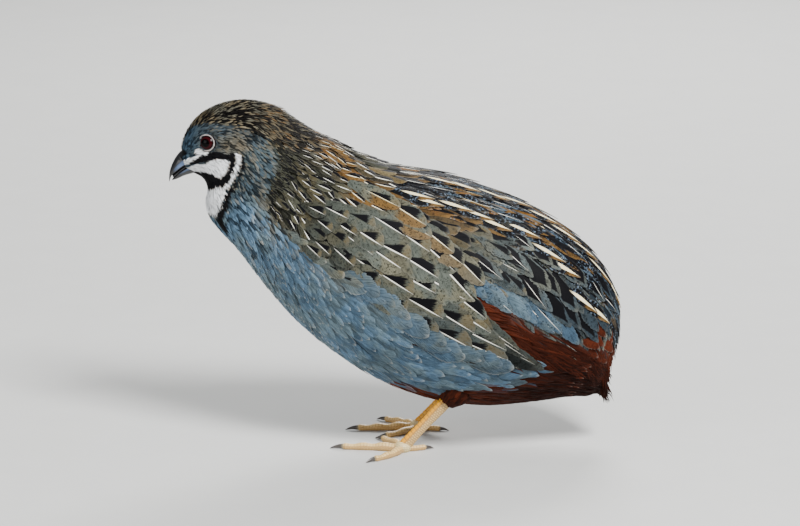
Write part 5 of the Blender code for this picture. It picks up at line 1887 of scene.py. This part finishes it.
class QUAIL_OT_bill(bpy.types.Operator):
    """Build both halves of the bill"""

    bl_idname = "quail.bill"
    bl_label = "Bill"

    def execute(self, context):
        gloss = {"coat_weight": 0.35, "coat_roughness": 0.2}
        horn = painted_material("bill_horn", 0.30, 0.00003, 1400.0, 0.5, **gloss)
        for name, sweep in (("bill_upper", BILL_UPPER), ("bill_lower", BILL_LOWER)):
            points, faces, tint = bill_half(sweep, 120, 96)
            place(painted_piece(f"{name}_horn", points, faces, tint, horn), "bill_horn", name)
        place(make_mouth(horn), "bill_horn")
        return {"FINISHED"}


class QUAIL_OT_legs(bpy.types.Operator):
    """Build the thighs, shanks, toes and claws"""

    bl_idname = "quail.legs"
    bl_label = "Legs"

    def execute(self, context):
        gloss = {"coat_weight": 0.15, "coat_roughness": 0.3}
        scales = painted_material("leg_scales", 0.45, 0.00003, 2200.0, 0.35, **gloss)
        gloss = {"coat_weight": 0.3, "coat_roughness": 0.2}
        horn = painted_material("claw_horn", 0.35, 0.00002, 2000.0, 0.4, **gloss)
        feathers = plumage_material("thigh_feathers", 0.7)
        skin = skin_material()
        for foot, side in enumerate(("left", "right")):
            flesh, coat = make_thigh(side, foot, feathers, skin)
            place(flesh, "body_feathers", f"thigh_{side}")
            place(coat, "body_feathers")
            place(make_shank(side, foot, scales), "leg_scales", f"shank_{side}")
            for toe in TOES:
                digit, claw = make_toe(side, foot, toe, scales, horn)
                place(digit, "leg_scales", f"toe_{side}_{toe[0]}")
                place(claw, "claw_horn", f"claw_{side}_{toe[0]}")
        return {"FINISHED"}


def area_light(name, place_at, size, power):
    """A soft square light that faces the bird."""
    light = bpy.data.lights.new(name, "AREA")
    light.size = size
    light.energy = power
    lamp = bpy.data.objects.new(name, light)
    lamp.location = place_at
    lamp.rotation_euler = (Vector(LIGHT_TARGET) - Vector(place_at)).to_track_quat("-Z", "Y").to_euler()
    bpy.context.scene.collection.objects.link(lamp)


# The studio: the point that the camera and the lights face, the floor's half width, and each light's
# name, place, size and share of the key light's power.
VIEW_TARGET = (0.00092, 0.0, 0.04889)
LIGHT_TARGET = (0.0, 0.0, 0.05)
FLOOR_REACH = 3.0
LENS, SENSOR = 180.0, 36.0
LIGHTS = (
    ("key", (0.35, -0.55, 0.75), 0.30, 1.0),
    ("fill", (-0.75, -0.55, 0.35), 0.50, 0.15),
    ("rim", (0.15, 0.70, 0.60), 0.40, 0.5),
)
AIR_COLOUR = (0.80, 0.83, 0.88, 1.0)
AIR_STRENGTH = 0.29


class QUAIL_OT_studio(bpy.types.Operator):
    """Set up the studio's floor, lights and camera"""

    bl_idname = "quail.studio"
    bl_label = "Studio"

    def execute(self, context):
        studio = context.scene.quail_studio
        r = Recipe("studio_floor", roughness=0.9, specular_ior_level=0.1)
        grain = r.noise(r.places(), 60.0, 4.0, 0.6)
        pale = np.array(studio.floor_colour)
        r.link("Base Color", r.mix(grain, pale * 0.93, pale))
        signs = ((-1, -1), (1, -1), (1, 1), (-1, 1))
        corners = [(x * FLOOR_REACH, y * FLOOR_REACH, 0) for x, y in signs]
        floor = mesh_object("studio_floor", corners, [(0, 1, 2, 3)], r.material, smooth=False)
        away = Vector((0.0, -math.cos(studio.elevation), math.sin(studio.elevation)))
        camera = bpy.data.cameras.new("camera")
        camera.lens, camera.sensor_width = LENS, SENSOR
        camera.clip_start, camera.clip_end = 0.05, 50.0
        viewer = bpy.data.objects.new("camera", camera)
        viewer.location = Vector(VIEW_TARGET) + away * studio.distance
        viewer.rotation_euler = (-away).to_track_quat("-Z", "Y").to_euler()
        context.scene.collection.objects.link(viewer)
        context.scene.camera = viewer
        for name, place_at, size, share in LIGHTS:
            area_light(name, place_at, size, studio.key_power * share)
        world = bpy.data.worlds.new("studio_air")
        world.use_nodes = True
        air = world.node_tree.nodes["Background"]
        air.inputs["Color"].default_value = AIR_COLOUR
        air.inputs["Strength"].default_value = AIR_STRENGTH
        context.scene.world = world
        return {"FINISHED"}


class QUAIL_PT_panel(bpy.types.Panel):
    """The quail's sizes and its builders"""

    bl_label = "King quail"
    bl_idname = "QUAIL_PT_panel"
    bl_space_type = "VIEW_3D"
    bl_region_type = "UI"
    bl_category = "Quail"

    def draw(self, context):
        column = self.layout.column()
        for group in (context.scene.quail_sizes, context.scene.quail_studio):
            for name in group.__annotations__:
                column.prop(group, name)
        for builder in BUILDERS:
            column.operator(builder.bl_idname)


BUILDERS = (
    QUAIL_OT_studio,
    QUAIL_OT_skin,
    QUAIL_OT_body_coats,
    QUAIL_OT_wings,
    QUAIL_OT_tail,
    QUAIL_OT_eyes,
    QUAIL_OT_bill,
    QUAIL_OT_legs,
)
CLASSES = (QuailSizes, QuailStudio, *BUILDERS, QUAIL_PT_panel)


def register():
    """Adds the panel, the builders and the sizes to Blender."""
    for item in CLASSES:
        bpy.utils.register_class(item)
    bpy.types.Scene.quail_sizes = bpy.props.PointerProperty(type=QuailSizes)
    bpy.types.Scene.quail_studio = bpy.props.PointerProperty(type=QuailStudio)


def unregister():
    """Takes them out again."""
    del bpy.types.Scene.quail_studio
    del bpy.types.Scene.quail_sizes
    for item in reversed(CLASSES):
        bpy.utils.unregister_class(item)


def main():
    """Builds the whole bird, one operator after the other."""
    register()
    for builder in BUILDERS:
        group, action = builder.bl_idname.split(".")
        getattr(getattr(bpy.ops, group), action)()


if __name__ == "__main__":
    main()
